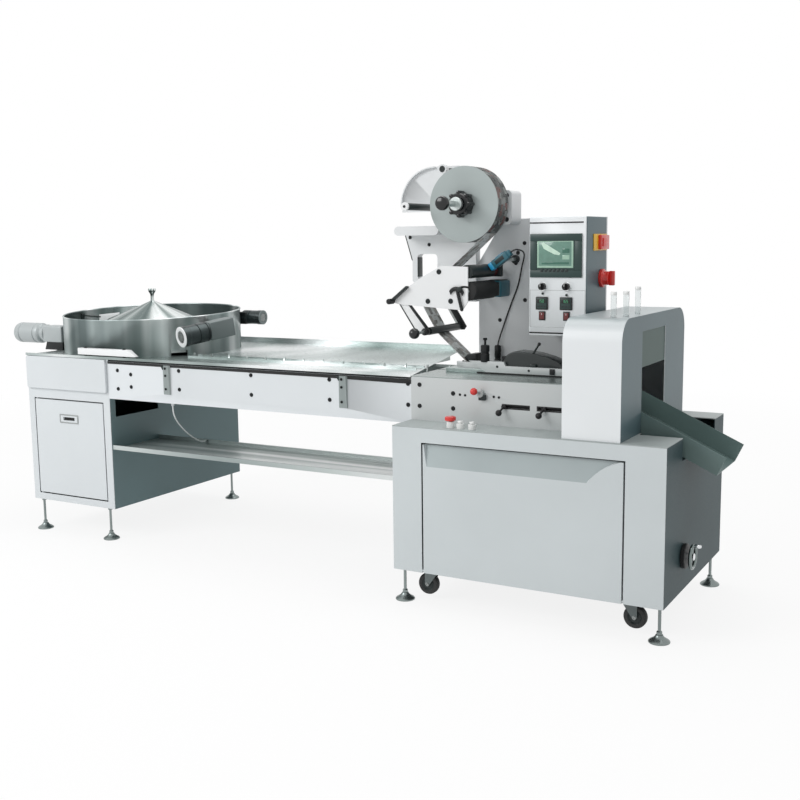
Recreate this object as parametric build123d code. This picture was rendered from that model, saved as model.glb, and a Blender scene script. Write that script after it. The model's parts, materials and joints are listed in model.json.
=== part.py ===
from build123d import *
import math
import os

# Horizontal flow wrapper: feeder cabinet with a rotating disc on the left, a long
# infeed conveyor, and the wrapping station with its film unwind on the right.
# Millimetres. While modelling, X runs along the machine from the left end of the
# wrapping station's body, Y from its front face to the back, Z up from the floor.

# Sheet and plate thicknesses
SHEET = 3.0
THIN_SHEET = 2.0
PLATE = 12.0
CUT = 4.0
SEAT_GAP = 0.3
RUNNING_GAP = 0.05
SWING_GAP = 6.0

# Wrapping station body
BODY_WIDTH = 1050.0
BODY_DEPTH = 806.0
BODY_BOTTOM = 131.0
BODY_TOP = 692.0
PRODUCT_LINE_Y = 385.0

# Flap door in the front of the body
FLAP_LEFT = 130.0
FLAP_RIGHT_MARGIN = 147.0
FLAP_RIGHT = BODY_WIDTH - FLAP_RIGHT_MARGIN
FLAP_TOP = 628.0
FLAP_THICKNESS = 24.0
FLAP_PIVOT_Y = 6.0
FLAP_PIVOT_RISE = 8.0
FLAP_PIN_RADIUS = 4.0
FLAP_PIN_REACH = 9.0
FLAP_LUG_WIDTH = 8.0
GRIP_DROP = 83.0
GRIP_DEPTH = 17.0
GRIP_END_RUN = 118.0
GRIP_MARGIN = 12.0

# Feeder cabinet on the left
CABINET_LEFT = -2122.0
CABINET_RIGHT = -1594.0
CABINET_FRONT = 154.0
CABINET_DEPTH = 950.0
CABINET_BOTTOM = 150.0
DECK_BOTTOM = 858.0
CABINET_DOOR_MARGIN_LEFT = 42.0
CABINET_DOOR_MARGIN_RIGHT = 46.0
CABINET_DOOR_BOTTOM = 188.0
CABINET_DOOR_TOP = 648.0
CABINET_DOOR_THICKNESS = 18.0
CABINET_PIVOT_INSET = 8.0
CABINET_PIVOT_Y_INSET = 5.0
CABINET_PIN_RADIUS = 3.0
CABINET_PIN_REACH = 9.0
CABINET_LUG = 7.0
PULL_WIDTH = 111.0
PULL_HEIGHT = 33.0
PULL_DEPTH = 9.0
PULL_DROP = 86.5
PULL_RADIUS = 6.0
PULL_SLOT_WIDTH = 74.0
PULL_SLOT_HEIGHT = 16.0
COVER_BOTTOM = 702.0
COVER_DEPTH = 14.0
COVER_SIDE_GAP = 7.0
COVER_TOP_GAP = 2.0
COVER_RADIUS = 10.0
SIDE_OPENING_FRONT = 190.0
SIDE_OPENING_BACK = 480.0
SIDE_OPENING_BOTTOM = 585.0
SIDE_OPENING_TOP = 690.0

# Levelling feet
FOOT_RADIUS = 38.0
FOOT_EDGE = 6.0
FOOT_BELL_RADIUS = 13.0
FOOT_BELL_HEIGHT = 26.0
FOOT_NUT_RADIUS = 10.0
FOOT_NUT_HEIGHT = 12.0
FOOT_STEM_RADIUS = 6.0
FOOT_STEM_START = 40.0
BODY_FOOT_INSET_X = 24.0
BODY_FOOT_INSET_Y = 46.0
CABINET_FOOT_INSET_LEFT = 44.0
CABINET_FOOT_INSET_RIGHT = 46.0
CABINET_FOOT_INSET_Y = 16.0

# Casters under the body, held clear of the floor by the feet
CASTER_LEFT_X = 135.0
CASTER_RIGHT_X = 900.0
CASTER_FRONT_Y = 90.0
CASTER_BACK_INSET = 92.0
CASTER_WHEEL_RADIUS = 42.0
CASTER_WHEEL_WIDTH = 28.0
CASTER_WHEEL_Z = 63.0
CASTER_TRAIL = 28.0
CASTER_PLATE = 60.0
CASTER_PLATE_THICKNESS = 4.0
CASTER_HEAD_RADIUS = 21.0
CASTER_HEAD_HEIGHT = 8.0
CASTER_CHEEK = 3.0
CASTER_CHEEK_GAP = 1.0
CASTER_AXLE_RADIUS = 4.0
CASTER_HUB_RADIUS = 25.0
CASTER_HUB_RECESS = 5.0
CASTER_TREAD_ROUND = 6.0
CASTER_FORK_REACH = 10.0

# Infeed conveyor rails
RAIL_FRONT = 154.0
RAIL_BOTTOM = 676.0
RAIL_TOP = 850.0
RAIL_WEB = 4.0
RAIL_FLANGE = 32.0
SPACER_INSET = 32.0
SPACER_WIDTH = 12.0
ARM_WIDTH = 40.0
ARM_HEIGHT = 40.0
ARM_XS = (-1240.0, -312.0)
BRACKET_WIDTH = 40.0
BRACKET_DEPTH = 16.0
BRACKET_WALL = 3.0
BRACKET_DROP = 130.0

# Deck pan
DECK_THICKNESS = 3.0
DECK_FRONT = 148.0
DECK_RIGHT = 0.0
DECK_RIGHT_BACK = -260.0
DECK_LIP = 9.0
DECK_BACK_LIP = 27.0
DECK_CHANNEL_HALF = 7.0
GUIDE_HALF = 34.0
GUIDE_WIDTH = 5.0
GUIDE_HEIGHT = 9.0
GUIDE_LEFT = -1280.0
GUIDE_RIGHT = -82.0
DECK_CHANNEL_LEFT = -1560.0

# Pusher chain: one fixed loop round two wheels
CHAIN_LEFT_X = -1530.0
CHAIN_RIGHT_X = 100.0
CHAIN_WHEEL_RADIUS = 56.0
CHAIN_WHEEL_WIDTH = 8.0
CHAIN_THICKNESS = 8.0
CHAIN_WIDTH = 10.0
CHAIN_TOP_DROP = 11.0
CHAIN_SHAFT_RADIUS = 9.0
PUSHER_COUNT = 16
PUSHER_HEIGHT = 33.0
PUSHER_LENGTH = 6.0
PUSHER_WIDTH = 8.0

# Lower tray between the two cabinets
TRAY_FRONT = 160.0
TRAY_BACK = 480.0
TRAY_BOTTOM = 436.0
TRAY_FLANGE = 20.0
TRAY_HEM = 8.0

# Thin drip hose from the front rail to the tray
HOSE_RADIUS = 3.0
HOSE_GLAND_RADIUS = 7.0

# Disc feeder
DRUM_X = -1725.0
DRUM_Y = 616.0
DRUM_RADIUS = 432.0
DRUM_WALL = 3.0
DRUM_RIM = 1046.0
RIM_SLOPE = 2.0
DRUM_BEAD_RADIUS = 4.0
DRUM_SHELF_WIDTH = 68.0
DRUM_SHELF_FRONT = 330.0
DRUM_SHELF_SLANT = 110.0
DRUM_SHELF_LENGTH = 580.0
DISC_CLEARANCE = 9.0
DISC_BOTTOM = 876.0
DISC_THICKNESS = 12.0
DISC_SHAFT_RADIUS = 20.0
DISC_BOSS_RADIUS = 46.0
DISC_BOSS_DROP = 34.0
DISC_BOSS_TOP = 6.0
POCKET_COUNT = 36
POCKET_RING_RADIUS = 385.0
POCKET_LENGTH = 38.0
POCKET_WIDTH = 24.0
POCKET_DEPTH = 6.0
CONE_BASE_RADIUS = 330.0
CONE_NECK_RADIUS = 12.0
CONE_TOP = 1100.0
CONE_SHEET = 2.0
CONE_RIM = 75.0
KNOB_STEM_RADIUS = 7.0
KNOB_TOP_RADIUS = 18.0
KNOB_HEIGHT = 62.0
KNOB_EDGE = 5.0
VANE_OUTER_HEIGHT = 74.0
VANE_MIDDLE_HEIGHT = 62.0
VANE_INNER_HEIGHT = 20.0
VANE_MIDDLE_RADIUS = 342.0
VANE_TOP_DROP = 12.0
VANE_INNER_RADIUS = 240.0
VANE_OFFSET_Y = -60.0
GUIDE_BAR_LENGTH = 350.0
GUIDE_BAR_WIDTH = 30.0
GUIDE_BAR_HEIGHT = 30.0
GUIDE_BAR_X = -1795.0
GUIDE_BAR_SLANT = 42.0

# Brush motors on the drum wall
MOTOR_RADIUS = 52.0
MOTOR_SMALL_RADIUS = 36.0
MOTOR_RING = 10.0
MOTOR_RING_STEP = 4.0
MOTOR_FIN_STEP = 14.0
MOTOR_FIN_DEPTH = 3.0
MOTOR_FIN_WIDTH = 5.0
LEFT_MOTOR_Y = 400.0
LEFT_MOTOR_Z = 940.0
LEFT_MOTOR_LENGTH = 209.0
LEFT_GEARBOX_LENGTH = 132.0
LEFT_GEARBOX_WIDTH = 81.0
LEFT_GEARBOX_HEIGHT = 81.0
FRONT_MOTOR_ANGLE = -20.6
FRONT_MOTOR_TILT = 8.0
FRONT_MOTOR_OFFSET = 90.0
FRONT_MOTOR_Z = 957.0
FRONT_MOTOR_RADIUS = 48.0
FRONT_MOTOR_LENGTH = 140.0
FRONT_MOTOR_SPLIT = -5.0
FRONT_HOUSING_LENGTH = 130.0
FRONT_HOUSING_WIDTH = 72.0
FRONT_HOUSING_HEIGHT = 84.0
FRONT_LUG_WIDTH = 40.0
FRONT_LUG_HEIGHT = 50.0
FRONT_LUG_RISE = 20.0
FRONT_LUG_DEPTH = 20.0
REAR_MOTOR_Y = 900.0
REAR_MOTOR_Z = 1010.0
REAR_MOTOR_LENGTH = 84.0
REAR_GEARBOX_LENGTH = 63.0
REAR_GEARBOX_SIZE = 70.0

# Infeed panel and table of the wrapping station
TABLE_TOP = 863.0
TABLE_RIGHT_MARGIN = 374.0
TABLE_RIGHT = BODY_WIDTH - TABLE_RIGHT_MARGIN
SLOT_LENGTH = 104.0
SLOT_HEIGHT = 9.0
SLOT_Z = 767.0
SLOT_XS = (389.0, 528.0)
LEVER_XS = (394.5, 553.0)
LEVER_STEM_RADIUS = 4.0
LEVER_BALL_RADIUS = 12.0
LEVER_DROP = 20.0
LEVER_REACH = 25.0
LEVER_CLAMP_RADIUS = 9.0
LEVER_CLAMP_LENGTH = 8.0
LEVER_BALL_SIDESTEP = 8.0
PANEL_KNOB_X = 290.0
PANEL_KNOB_Z = 823.0
PANEL_KNOB_RADIUS = 13.0
PANEL_KNOB_REACH = 44.0
PANEL_KNOB_BOSS_RADIUS = 12.0
PANEL_KNOB_BOSS_LENGTH = 14.0
PANEL_KNOB_SIDESTEP = 11.0

# Push buttons on the ledge in front of the infeed panel
BUTTON_Y = 45.0
BUTTON_XS = (225.0, 266.0, 314.0)
BUTTON_BASE_RADIUS = 14.0
BUTTON_BASE_HEIGHTS = (24.0, 18.0, 18.0)
BUTTON_CAP_RADII = (21.0, 10.0, 10.0)
BUTTON_CAP_HEIGHTS = (14.0, 6.0, 6.0)
BUTTON_STEM_RADIUS = 6.0
BUTTON_TRAVEL = 4.0
BUTTON_WELL = 12.0

# Head plate, control box and its panel
HEAD_Y = 550.0
HEAD_LEFT = 105.0
HEAD_RIGHT = 645.0
HEAD_TOP = 1464.0
HEAD_SHOULDER_X = 216.0
HEAD_SHOULDER_Z = 1292.0
BOX_LEFT = 417.0
BOX_RIGHT = 645.0
BOX_FRONT = 330.0
BOX_BOTTOM = 1020.0
BOX_EDGE = 6.0
PANEL_PROUD = 6.0
SCREEN_X = 525.5
SCREEN_Z = 1320.0
SCREEN_WIDTH = 205.0
SCREEN_HEIGHT = 162.0
SCREEN_GLASS_WIDTH = 143.0
SCREEN_GLASS_HEIGHT = 103.0
SCREEN_GLASS_RISE = 6.5
SCREEN_RECESS = 2.0
SCREEN_RADIUS = 6.0
CONTROLLER_SIZE = 48.0
CONTROLLER_Z = 1142.0
CONTROL_XS = (472.0, 567.0)
LAMP_RADIUS = 5.0
LAMP_Z = 1178.0
ROCKER_WIDTH = 26.0
ROCKER_HEIGHT = 34.0
ROCKER_Z = 1095.0
SELECTOR_Z = 1205.0
SELECTOR_RADIUS = 13.0
SELECTOR_LENGTH = 12.0
SELECTOR_GRIP = 6.0
SELECTOR_GRIP_LENGTH = 12.0
SIDE_PLATE_FRONT = 400.0
SIDE_PLATE_BACK = 547.0
SIDE_PLATE_BOTTOM = 1337.0
SIDE_PLATE_TOP = 1399.0
SIDE_PLATE_PROUD = 4.0
SIDE_SWITCH_WIDTH = 40.0
SIDE_SWITCH_PROUD = 14.0
MAIN_SWITCH_Y = 493.0
MAIN_SWITCH_Z = 1232.0
MAIN_SWITCH_RADIUS = 35.0
MAIN_SWITCH_LENGTH = 34.0
MAIN_SWITCH_BASE = 12.0
MAIN_SWITCH_GRIP = 16.0
MAIN_SWITCH_GRIP_LENGTH = 20.0

# Film reel, its bracket and the splice arm
REEL_X = 140.0
REEL_Z = 1519.0
REEL_RADIUS = 147.0
REEL_FRONT = 335.0
REEL_BACK = 435.0
REEL_CORE_RADIUS = 38.0
REEL_CORE_WALL = 5.0
SHAFT_RADIUS = 12.0
SHAFT_FRONT = 140.0
SHAFT_BACK = 540.0
CHUCK_RADIUS = 52.0
CHUCK_FRONT = 285.0
CHUCK_RIB_COUNT = 8
CHUCK_RIB_RADIUS = 8.0
CHUCK_BACK_WIDTH = 14.0
SHAFT_KNOB_RADIUS = 27.0
SHAFT_KNOB_LENGTH = 30.0
SHAFT_KNOB_ROUND = 9.0
BRACKET_LEFT = 60.0
BRACKET_RIGHT = 291.0
BRACKET_BOTTOM = 1440.0
BRACKET_TOP = 1573.0
BRACKET_FRONT = 455.0
BRACKET_CORNER = 18.0
SPLICE_X = -90.0
SPLICE_Z = 1525.0
SPLICE_RADIUS = 158.0
SPLICE_THICKNESS = 6.0
SPLICE_TAIL_Z = 1500.0
SPLICE_KNOB_X = 0.0
SPLICE_KNOB_Z = 1664.0
SPLICE_KNOB_RADIUS = 19.0
SPLICE_KNOB_LENGTH = 22.0
SPLICE_KNOB_FRONT = 430.0
SPLICE_KNOB_STEM = 7.0
SPLICE_ROLLER_X = -66.0
SPLICE_ROLLER_Z = 1514.0
SPLICE_ROLLER_RADIUS = 13.5
SPLICE_ROLLER_FRONT = 235.0
SPLICE_FLANGE = 10.0
SPLICE_FLANGE_DEPTH = 16.0

# Film frame left of the head plate
FRAME_DEPTH = 40.0
FRAME_LEFT = -225.0
FRAME_WAIST_X = -190.0
FRAME_WAIST_Z = 1300.0
FRAME_TOP = 1419.0
FRAME_HIP_Z = 1213.0
FRAME_HEEL_X = -60.0
FRAME_BOTTOM = 1132.0
WINDOW_LEFT = -166.0
WINDOW_RIGHT = -72.0
WINDOW_BOTTOM = 1218.0
WINDOW_TOP = 1326.0
WINDOW_RADIUS = 16.0
REST_LENGTH = 205.0
REST_HEIGHT = 37.0
REST_Z = 1421.5
REST_RIGHT = -20.0
REST_FRONT = 430.0

# Film front plate
FRONT_PLATE_Y = 225.0
FRONT_PLATE = 6.0
FRONT_PLATE_OUTLINE = [(-124.0, 1141.0), (-49.0, 1202.0), (10.0, 1240.0), (98.0, 1285.0),
                       (211.0, 1281.0), (211.0, 1150.0), (188.0, 1116.0), (-85.0, 1134.0)]
TIE_ROD_RADIUS = 9.0
TIE_ROD_XS = (88.0, 39.0, 138.0)
TIE_ROD_ZS = (1262.0, 1150.0, 1150.0)
ARC_SLOT_X = 196.0
ARC_SLOT_Z = 1150.0
ARC_SLOT_RADIUS = 55.0
ARC_SLOT_WIDTH = 8.0
ARC_SLOT_START = 70.0
ARC_SLOT_SWEEP = 45.0

# Film drive rollers behind the front plate
NIP_X = 205.0
NIP_Z = 1188.0
NIP_RADIUS = 36.0
NIP_LENGTH_BACK = 450.0
PRESS_RADIUS = 26.0
PRESS_RISE = 74.0
PRESS_SHIFT = -5.0
GEARMOTOR_SIZE = 66.0
GEARMOTOR_EDGE = 6.0
GEARMOTOR_SHIFT = 8.0
ROLLER_AXLE_RADIUS = 8.0
ROLLER_END_GAP = 3.0

# Film print sensor and its cable
SENSOR_X = 269.0
SENSOR_Y = 400.0
SENSOR_Z = 1303.0
SENSOR_LENGTH = 104.0
SENSOR_HEIGHT = 34.0
SENSOR_DEPTH = 30.0
SENSOR_TILT = 35.0
SENSOR_NOSE = 18.0
SENSOR_ROD_RADIUS = 7.0
CABLE_RADIUS = 3.0
CABLE_LEAD = 20.0
CABLE_SOCKET_RADIUS = 11.0
CABLE_SOCKET_HEIGHT = 72.0
CABLE_SOCKET_X = 196.0
CABLE_SOCKET_Y = 535.0

# Swing arms with the lower idler roller
SWING_TOP_X = -45.0
SWING_TOP_Z = 1150.0
IDLER_X = 32.0
IDLER_Z = 1030.0
SWING_ARM_WIDTH = 20.0
SWING_ARM_THICKNESS = 10.0
IDLER_RADIUS = 15.0
IDLER_AXLE_RADIUS = 6.0
IDLER_GAP = 1.0
IDLER_KNOB_RADIUS = 21.0
IDLER_KNOB_Y = 125.0
IDLER_COLLAR_RADIUS = 14.0
IDLER_COLLAR_LENGTH = 26.0

# Film web
FILM_THICKNESS = 0.8
FILM_MARGIN = 2.0
FILM_GAP = 1.2
FILM_END_X = 150.0
FILM_END_Z = 906.0
WRAP_STEP = 20.0
TURN_ROD_RADIUS = 12.0

# Forming box, guides and seal wheel cover on the table
TRACK_HALF = 43.0
TRACK_BAR = 12.0
TRACK_HEIGHT = 32.0
TRACK_LEFT = 62.0
FORMER_LEFT = 130.0
FORMER_RIGHT = 300.0
FORMER_HALF = 38.0
FORMER_TOP = 905.0
FORMER_SHOULDER_X = 100.0
FORMER_SHOULDER_RISE = 25.0
ADJUSTER_XS = (232.0, 272.0)
ADJUSTER_RADIUS = 13.0
ADJUSTER_HEIGHTS = (58.0, 34.0)
ADJUSTER_ROD_RADIUS = 4.0
ADJUSTER_ROD_HEIGHTS = (38.0, 10.0)
ADJUSTER_KNOB_RADIUS = 8.0
ADJUSTER_KNOB_HEIGHT = 8.0
SEAL_COVER_X = 360.0
SEAL_COVER_RADIUS = 58.0
COVER_SKIRT = 12.0
PRESS_BAR_LENGTH = 60.0
PRESS_BAR_RADIUS = 5.0
PRESS_BAR_KNOB_RADIUS = 9.0

# Guard hood over the end sealer
HOOD_WIDTH = 212.0
HOOD_FRONT = 8.0
HOOD_BACK_MARGIN = 6.0
HOOD_LEFT = TABLE_RIGHT
HOOD_RIGHT = HOOD_LEFT + HOOD_WIDTH
HOOD_BACK = BODY_DEPTH - HOOD_BACK_MARGIN
HOOD_TOP = 1112.0
HOOD_RADIUS = 84.0
EXIT_FRONT = 240.0
EXIT_BACK = 530.0
EXIT_TOP = 1055.0
INLET_HALF = 72.0
INLET_TOP = 985.0
CURTAIN_BOTTOM = 926.0
CURTAIN_THICKNESS = 4.0
CURTAIN_OVERLAP = 10.0
POST_OFFSETS = (147.0, 174.0, 174.0)
POST_XS = tuple(HOOD_LEFT + offset for offset in POST_OFFSETS)
POST_YS = (110.0, 165.0, 300.0)
POST_HEIGHTS = (88.0, 88.0, 98.0)
POST_WIDTH = 20.0
POST_THICKNESS = 5.0
POST_SOCKET = 16.0
POST_SOCKET_HEIGHT = 10.0

# Output chute and the notch it passes through
CHUTE_REST_INSET = 84.0
CHUTE_REST_WIDTH = 12.0
CHUTE_OVERHANG = 110.0
CHUTE_END_X = BODY_WIDTH + CHUTE_OVERHANG
CHUTE_END_Z = 562.0
CHUTE_SLOPE = 25.0
CHUTE_START_INSET = 54.0
CHUTE_START_X = HOOD_LEFT + CHUTE_START_INSET
CHUTE_WALL = 70.0
CHUTE_SIDE_GAP = 3.0
NOTCH_FRONT = 200.0
NOTCH_BACK = 665.0
NOTCH_LENGTH = 158.0
NOTCH_LEFT = BODY_WIDTH - NOTCH_LENGTH
THROAT_LEFT = 860.0
THROAT_SIDE_GAP = 5.0

# Handwheel low on the right side
HANDWHEEL_Y = 235.0
HANDWHEEL_Z = 262.0
HANDWHEEL_RADIUS = 40.0
HANDWHEEL_RIM_RADIUS = 6.5
HANDWHEEL_STANDOFF = 36.0
HANDWHEEL_HUB_RADIUS = 13.0
HANDWHEEL_SHAFT_RADIUS = 8.0
HANDWHEEL_SHAFT_INSIDE = 22.0
HANDWHEEL_DIAL_RADIUS = 45.0
HANDWHEEL_DIAL_THICKNESS = 14.0
HANDWHEEL_DIAL_GAP = 3.0
HANDWHEEL_SPOKE_RADIUS = 4.5
HANDWHEEL_GRIP_RADIUS = 7.0
HANDWHEEL_GRIP_LENGTH = 24.0
SPOKE_COUNT = 3
RIM_FACETS = 16

CABINET_BACK = CABINET_FRONT + CABINET_DEPTH
DECK_TOP = DECK_BOTTOM + DECK_THICKNESS
RAIL_BACK = 2 * PRODUCT_LINE_Y - RAIL_FRONT
HEAD_BACK = HEAD_Y + PLATE
FULL_TURN = 360.0
RIGHT_ANGLE = 90.0


def slab(x0, x1, y0, y1, z0, z1):
    """Rectangular block between two corners."""
    middle = Pos((x0 + x1) / 2, (y0 + y1) / 2, (z0 + z1) / 2)
    return middle * Box(x1 - x0, y1 - y0, z1 - z0)


def rod_x(y, z, radius, x0, x1):
    return Pos((x0 + x1) / 2, y, z) * Rot(0, RIGHT_ANGLE, 0) * Cylinder(radius, x1 - x0)


def rod_y(x, z, radius, y0, y1):
    return Pos(x, (y0 + y1) / 2, z) * Rot(RIGHT_ANGLE, 0, 0) * Cylinder(radius, y1 - y0)


def rod_z(x, y, radius, z0, z1):
    return Pos(x, y, (z0 + z1) / 2) * Cylinder(radius, z1 - z0)


def outline(points):
    return make_face(Polyline(*points, close=True))


def plate_xz(face, y0, y1):
    """Extrude a face drawn in X and Z from the plane y0 back to y1."""
    return Pos(0, y1, 0) * extrude(Plane.XZ * face, y1 - y0)


def plate_yz(face, x0, x1):
    """Extrude a face drawn in Y and Z from the plane x0 to x1."""
    return Pos(x0, 0, 0) * extrude(Plane.YZ * face, x1 - x0)


def plate_xy(face, z0, z1):
    return Pos(0, 0, z0) * extrude(face, z1 - z0)


def turned(profile):
    """Solid of revolution about Z from (radius, height) points."""
    return revolve(Plane.XZ * outline(profile), Axis.Z)


def middle_face(x0, x1, z0, z1):
    return Pos((x0 + x1) / 2, (z0 + z1) / 2) * Rectangle(x1 - x0, z1 - z0)


def rounded_face(x0, x1, z0, z1, radius):
    return Pos((x0 + x1) / 2, (z0 + z1) / 2) * RectangleRounded(x1 - x0, z1 - z0, radius)


def apart(*solids):
    """Several separate solids kept in one named piece."""
    return Compound(children=[solid for group in solids for solid in group.solids()])


def flap_pin(side):
    """Hinge pin of the flap door at its left (-1) or right (+1) lower corner."""
    z = BODY_BOTTOM + FLAP_PIVOT_RISE
    edge = FLAP_LEFT if side < 0 else FLAP_RIGHT
    outer = edge + side * (SWING_GAP + FLAP_LUG_WIDTH)
    inner = edge - side * FLAP_PIN_REACH
    pin = rod_x(FLAP_PIVOT_Y, z, FLAP_PIN_RADIUS, min(outer, inner), max(outer, inner))
    lug_near = edge + side * SWING_GAP
    lug = slab(min(outer, lug_near), max(outer, lug_near), 0, FLAP_THICKNESS,
               BODY_BOTTOM, z + FLAP_PIN_RADIUS + SHEET)
    return pin + lug


def base_front_frame():
    face = middle_face(0, BODY_WIDTH, BODY_BOTTOM, BODY_TOP - SHEET)
    door_hole = middle_face(FLAP_LEFT - SWING_GAP, FLAP_RIGHT + SWING_GAP,
                            BODY_BOTTOM - CUT, FLAP_TOP + SWING_GAP)
    frame = plate_xz(face - door_hole, 0, SHEET)
    return frame + flap_pin(-1) + flap_pin(1)


def base_left_wall():
    return slab(0, SHEET, SHEET, BODY_DEPTH - SHEET, BODY_BOTTOM, BODY_TOP - SHEET)


def chute_floor_z(x):
    """Height of the chute's floor surface above a point along the machine."""
    return CHUTE_END_Z + (CHUTE_END_X - x) * math.tan(math.radians(CHUTE_SLOPE))


def chute_underside_z(x):
    return chute_floor_z(x) - THIN_SHEET / math.cos(math.radians(CHUTE_SLOPE))


def base_right_wall():
    wall = slab(BODY_WIDTH - SHEET, BODY_WIDTH, SHEET, BODY_DEPTH - SHEET,
                BODY_BOTTOM, BODY_TOP - SHEET)
    notch_bottom = chute_underside_z(BODY_WIDTH)
    wall -= slab(BODY_WIDTH - SHEET - CUT, BODY_WIDTH + CUT, NOTCH_FRONT, NOTCH_BACK,
                 notch_bottom, BODY_TOP)
    shaft_hole = rod_x(HANDWHEEL_Y, HANDWHEEL_Z, HANDWHEEL_SHAFT_RADIUS + RUNNING_GAP,
                       BODY_WIDTH - SHEET - CUT, BODY_WIDTH + CUT)
    return wall - shaft_hole


def base_back_wall():
    return slab(0, BODY_WIDTH, BODY_DEPTH - SHEET, BODY_DEPTH, BODY_BOTTOM, BODY_TOP - SHEET)


def base_top():
    top = slab(0, BODY_WIDTH, 0, BODY_DEPTH, BODY_TOP - SHEET, BODY_TOP)
    notch = slab(NOTCH_LEFT, BODY_WIDTH + CUT, NOTCH_FRONT, NOTCH_BACK,
                 BODY_TOP - SHEET - CUT, BODY_TOP + CUT)
    throat = slab(THROAT_LEFT, NOTCH_LEFT + CUT, EXIT_FRONT - THROAT_SIDE_GAP,
                  EXIT_BACK + THROAT_SIDE_GAP, BODY_TOP - SHEET - CUT, BODY_TOP + CUT)
    return top - notch - throat + button_collars()


def base_floor():
    """Floor of the station, with the plates of its two front casters."""
    front = FLAP_PIVOT_Y + FLAP_THICKNESS + SWING_GAP
    floor = slab(SHEET, BODY_WIDTH - SHEET, front, BODY_DEPTH - SHEET,
                 BODY_BOTTOM, BODY_BOTTOM + SHEET)
    floor += caster_plate(CASTER_LEFT_X, CASTER_FRONT_Y)
    return floor + caster_plate(CASTER_RIGHT_X, CASTER_FRONT_Y)


def base_flap():
    """Flap door hinged at its lower edge, with a finger grip bent into its top."""
    left, right = FLAP_LEFT, FLAP_RIGHT
    door = slab(left, right, 0, FLAP_THICKNESS, BODY_BOTTOM, FLAP_TOP)
    grip_left = left + CUT
    grip_right = right - GRIP_MARGIN
    grip_bottom = FLAP_TOP - GRIP_DROP
    edge = [Line((grip_left, FLAP_TOP + CUT), (grip_left + GRIP_MARGIN, grip_bottom)),
            Line((grip_left + GRIP_MARGIN, grip_bottom), (grip_right - GRIP_END_RUN, grip_bottom)),
            ThreePointArc((grip_right - GRIP_END_RUN, grip_bottom),
                          (grip_right - GRIP_END_RUN / 2, FLAP_TOP - GRIP_DROP / 3),
                          (grip_right, FLAP_TOP)),
            Line((grip_right, FLAP_TOP), (grip_right, FLAP_TOP + CUT)),
            Line((grip_right, FLAP_TOP + CUT), (grip_left, FLAP_TOP + CUT))]
    reach = plate_xz(make_face(edge), -CUT, GRIP_DEPTH)
    overrun = CUT * GRIP_DEPTH / GRIP_DROP
    wedge = plate_yz(outline([(-overrun, grip_bottom - CUT), (-overrun, FLAP_TOP + CUT),
                              (GRIP_DEPTH + overrun, FLAP_TOP + CUT)]),
                     left - CUT, right + CUT)
    door -= reach & wedge
    for side, x in ((-1, left), (1, right)):
        deep = x - side * (FLAP_PIN_REACH + CUT)
        door -= rod_x(FLAP_PIVOT_Y, BODY_BOTTOM + FLAP_PIVOT_RISE,
                      FLAP_PIN_RADIUS + RUNNING_GAP, min(x, deep), max(x, deep))
    return door


def levelling_foot(x, y, top):
    profile = [(0, 0), (FOOT_RADIUS, 0), (FOOT_RADIUS, FOOT_EDGE),
               (FOOT_BELL_RADIUS, FOOT_BELL_HEIGHT), (FOOT_NUT_RADIUS, FOOT_BELL_HEIGHT),
               (FOOT_NUT_RADIUS, FOOT_BELL_HEIGHT + FOOT_NUT_HEIGHT),
               (FOOT_STEM_RADIUS, FOOT_STEM_START), (FOOT_STEM_RADIUS, top), (0, top)]
    return Pos(x, y, 0) * turned(profile)


def levelling_feet():
    feet = []
    for x in (BODY_FOOT_INSET_X, BODY_WIDTH - BODY_FOOT_INSET_X):
        for y in (BODY_FOOT_INSET_Y, BODY_DEPTH - BODY_FOOT_INSET_Y):
            feet.append(levelling_foot(x, y, BODY_BOTTOM))
    for x in (CABINET_LEFT + CABINET_FOOT_INSET_LEFT, CABINET_RIGHT - CABINET_FOOT_INSET_RIGHT):
        for y in (CABINET_FRONT + CABINET_FOOT_INSET_Y, CABINET_BACK - CABINET_FOOT_INSET_Y):
            feet.append(levelling_foot(x, y, CABINET_BOTTOM))
    return apart(*feet)


def caster_plate(x, y):
    half = CASTER_PLATE / 2
    return slab(x - half, x + half, y - half, y + half,
                BODY_BOTTOM - CASTER_PLATE_THICKNESS, BODY_BOTTOM)


def caster_fork(x, y, trail):
    """Swivel head, crown and two cheeks that hold the wheel's axle."""
    head_top = BODY_BOTTOM - CASTER_PLATE_THICKNESS - SEAT_GAP
    crown_top = head_top - CASTER_HEAD_HEIGHT
    head = rod_z(x, y, CASTER_HEAD_RADIUS, crown_top, head_top)
    half = CASTER_WHEEL_WIDTH / 2 + CASTER_CHEEK_GAP
    outer = half + CASTER_CHEEK
    axle_x = x + trail
    back = x - math.copysign(CASTER_HEAD_RADIUS, trail)
    front = axle_x + math.copysign(CASTER_FORK_REACH, trail)
    crown = slab(min(back, front), max(back, front), y - outer, y + outer,
                 crown_top - CASTER_CHEEK, crown_top)
    crown -= rod_y(axle_x, CASTER_WHEEL_Z, CASTER_WHEEL_RADIUS + CASTER_CHEEK_GAP,
                   y - half, y + half)
    cheek_face = outline([(back, crown_top), (front, crown_top),
                          (axle_x + math.copysign(CASTER_FORK_REACH, trail), CASTER_WHEEL_Z),
                          (axle_x, CASTER_WHEEL_Z - CASTER_FORK_REACH),
                          (axle_x - math.copysign(CASTER_FORK_REACH, trail), CASTER_WHEEL_Z)])
    fork = head + crown
    fork += plate_xz(cheek_face, y - outer, y - half)
    fork += plate_xz(cheek_face, y + half, y + outer)
    fork += rod_y(axle_x, CASTER_WHEEL_Z, CASTER_AXLE_RADIUS, y - outer, y + outer)
    return fork


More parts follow.
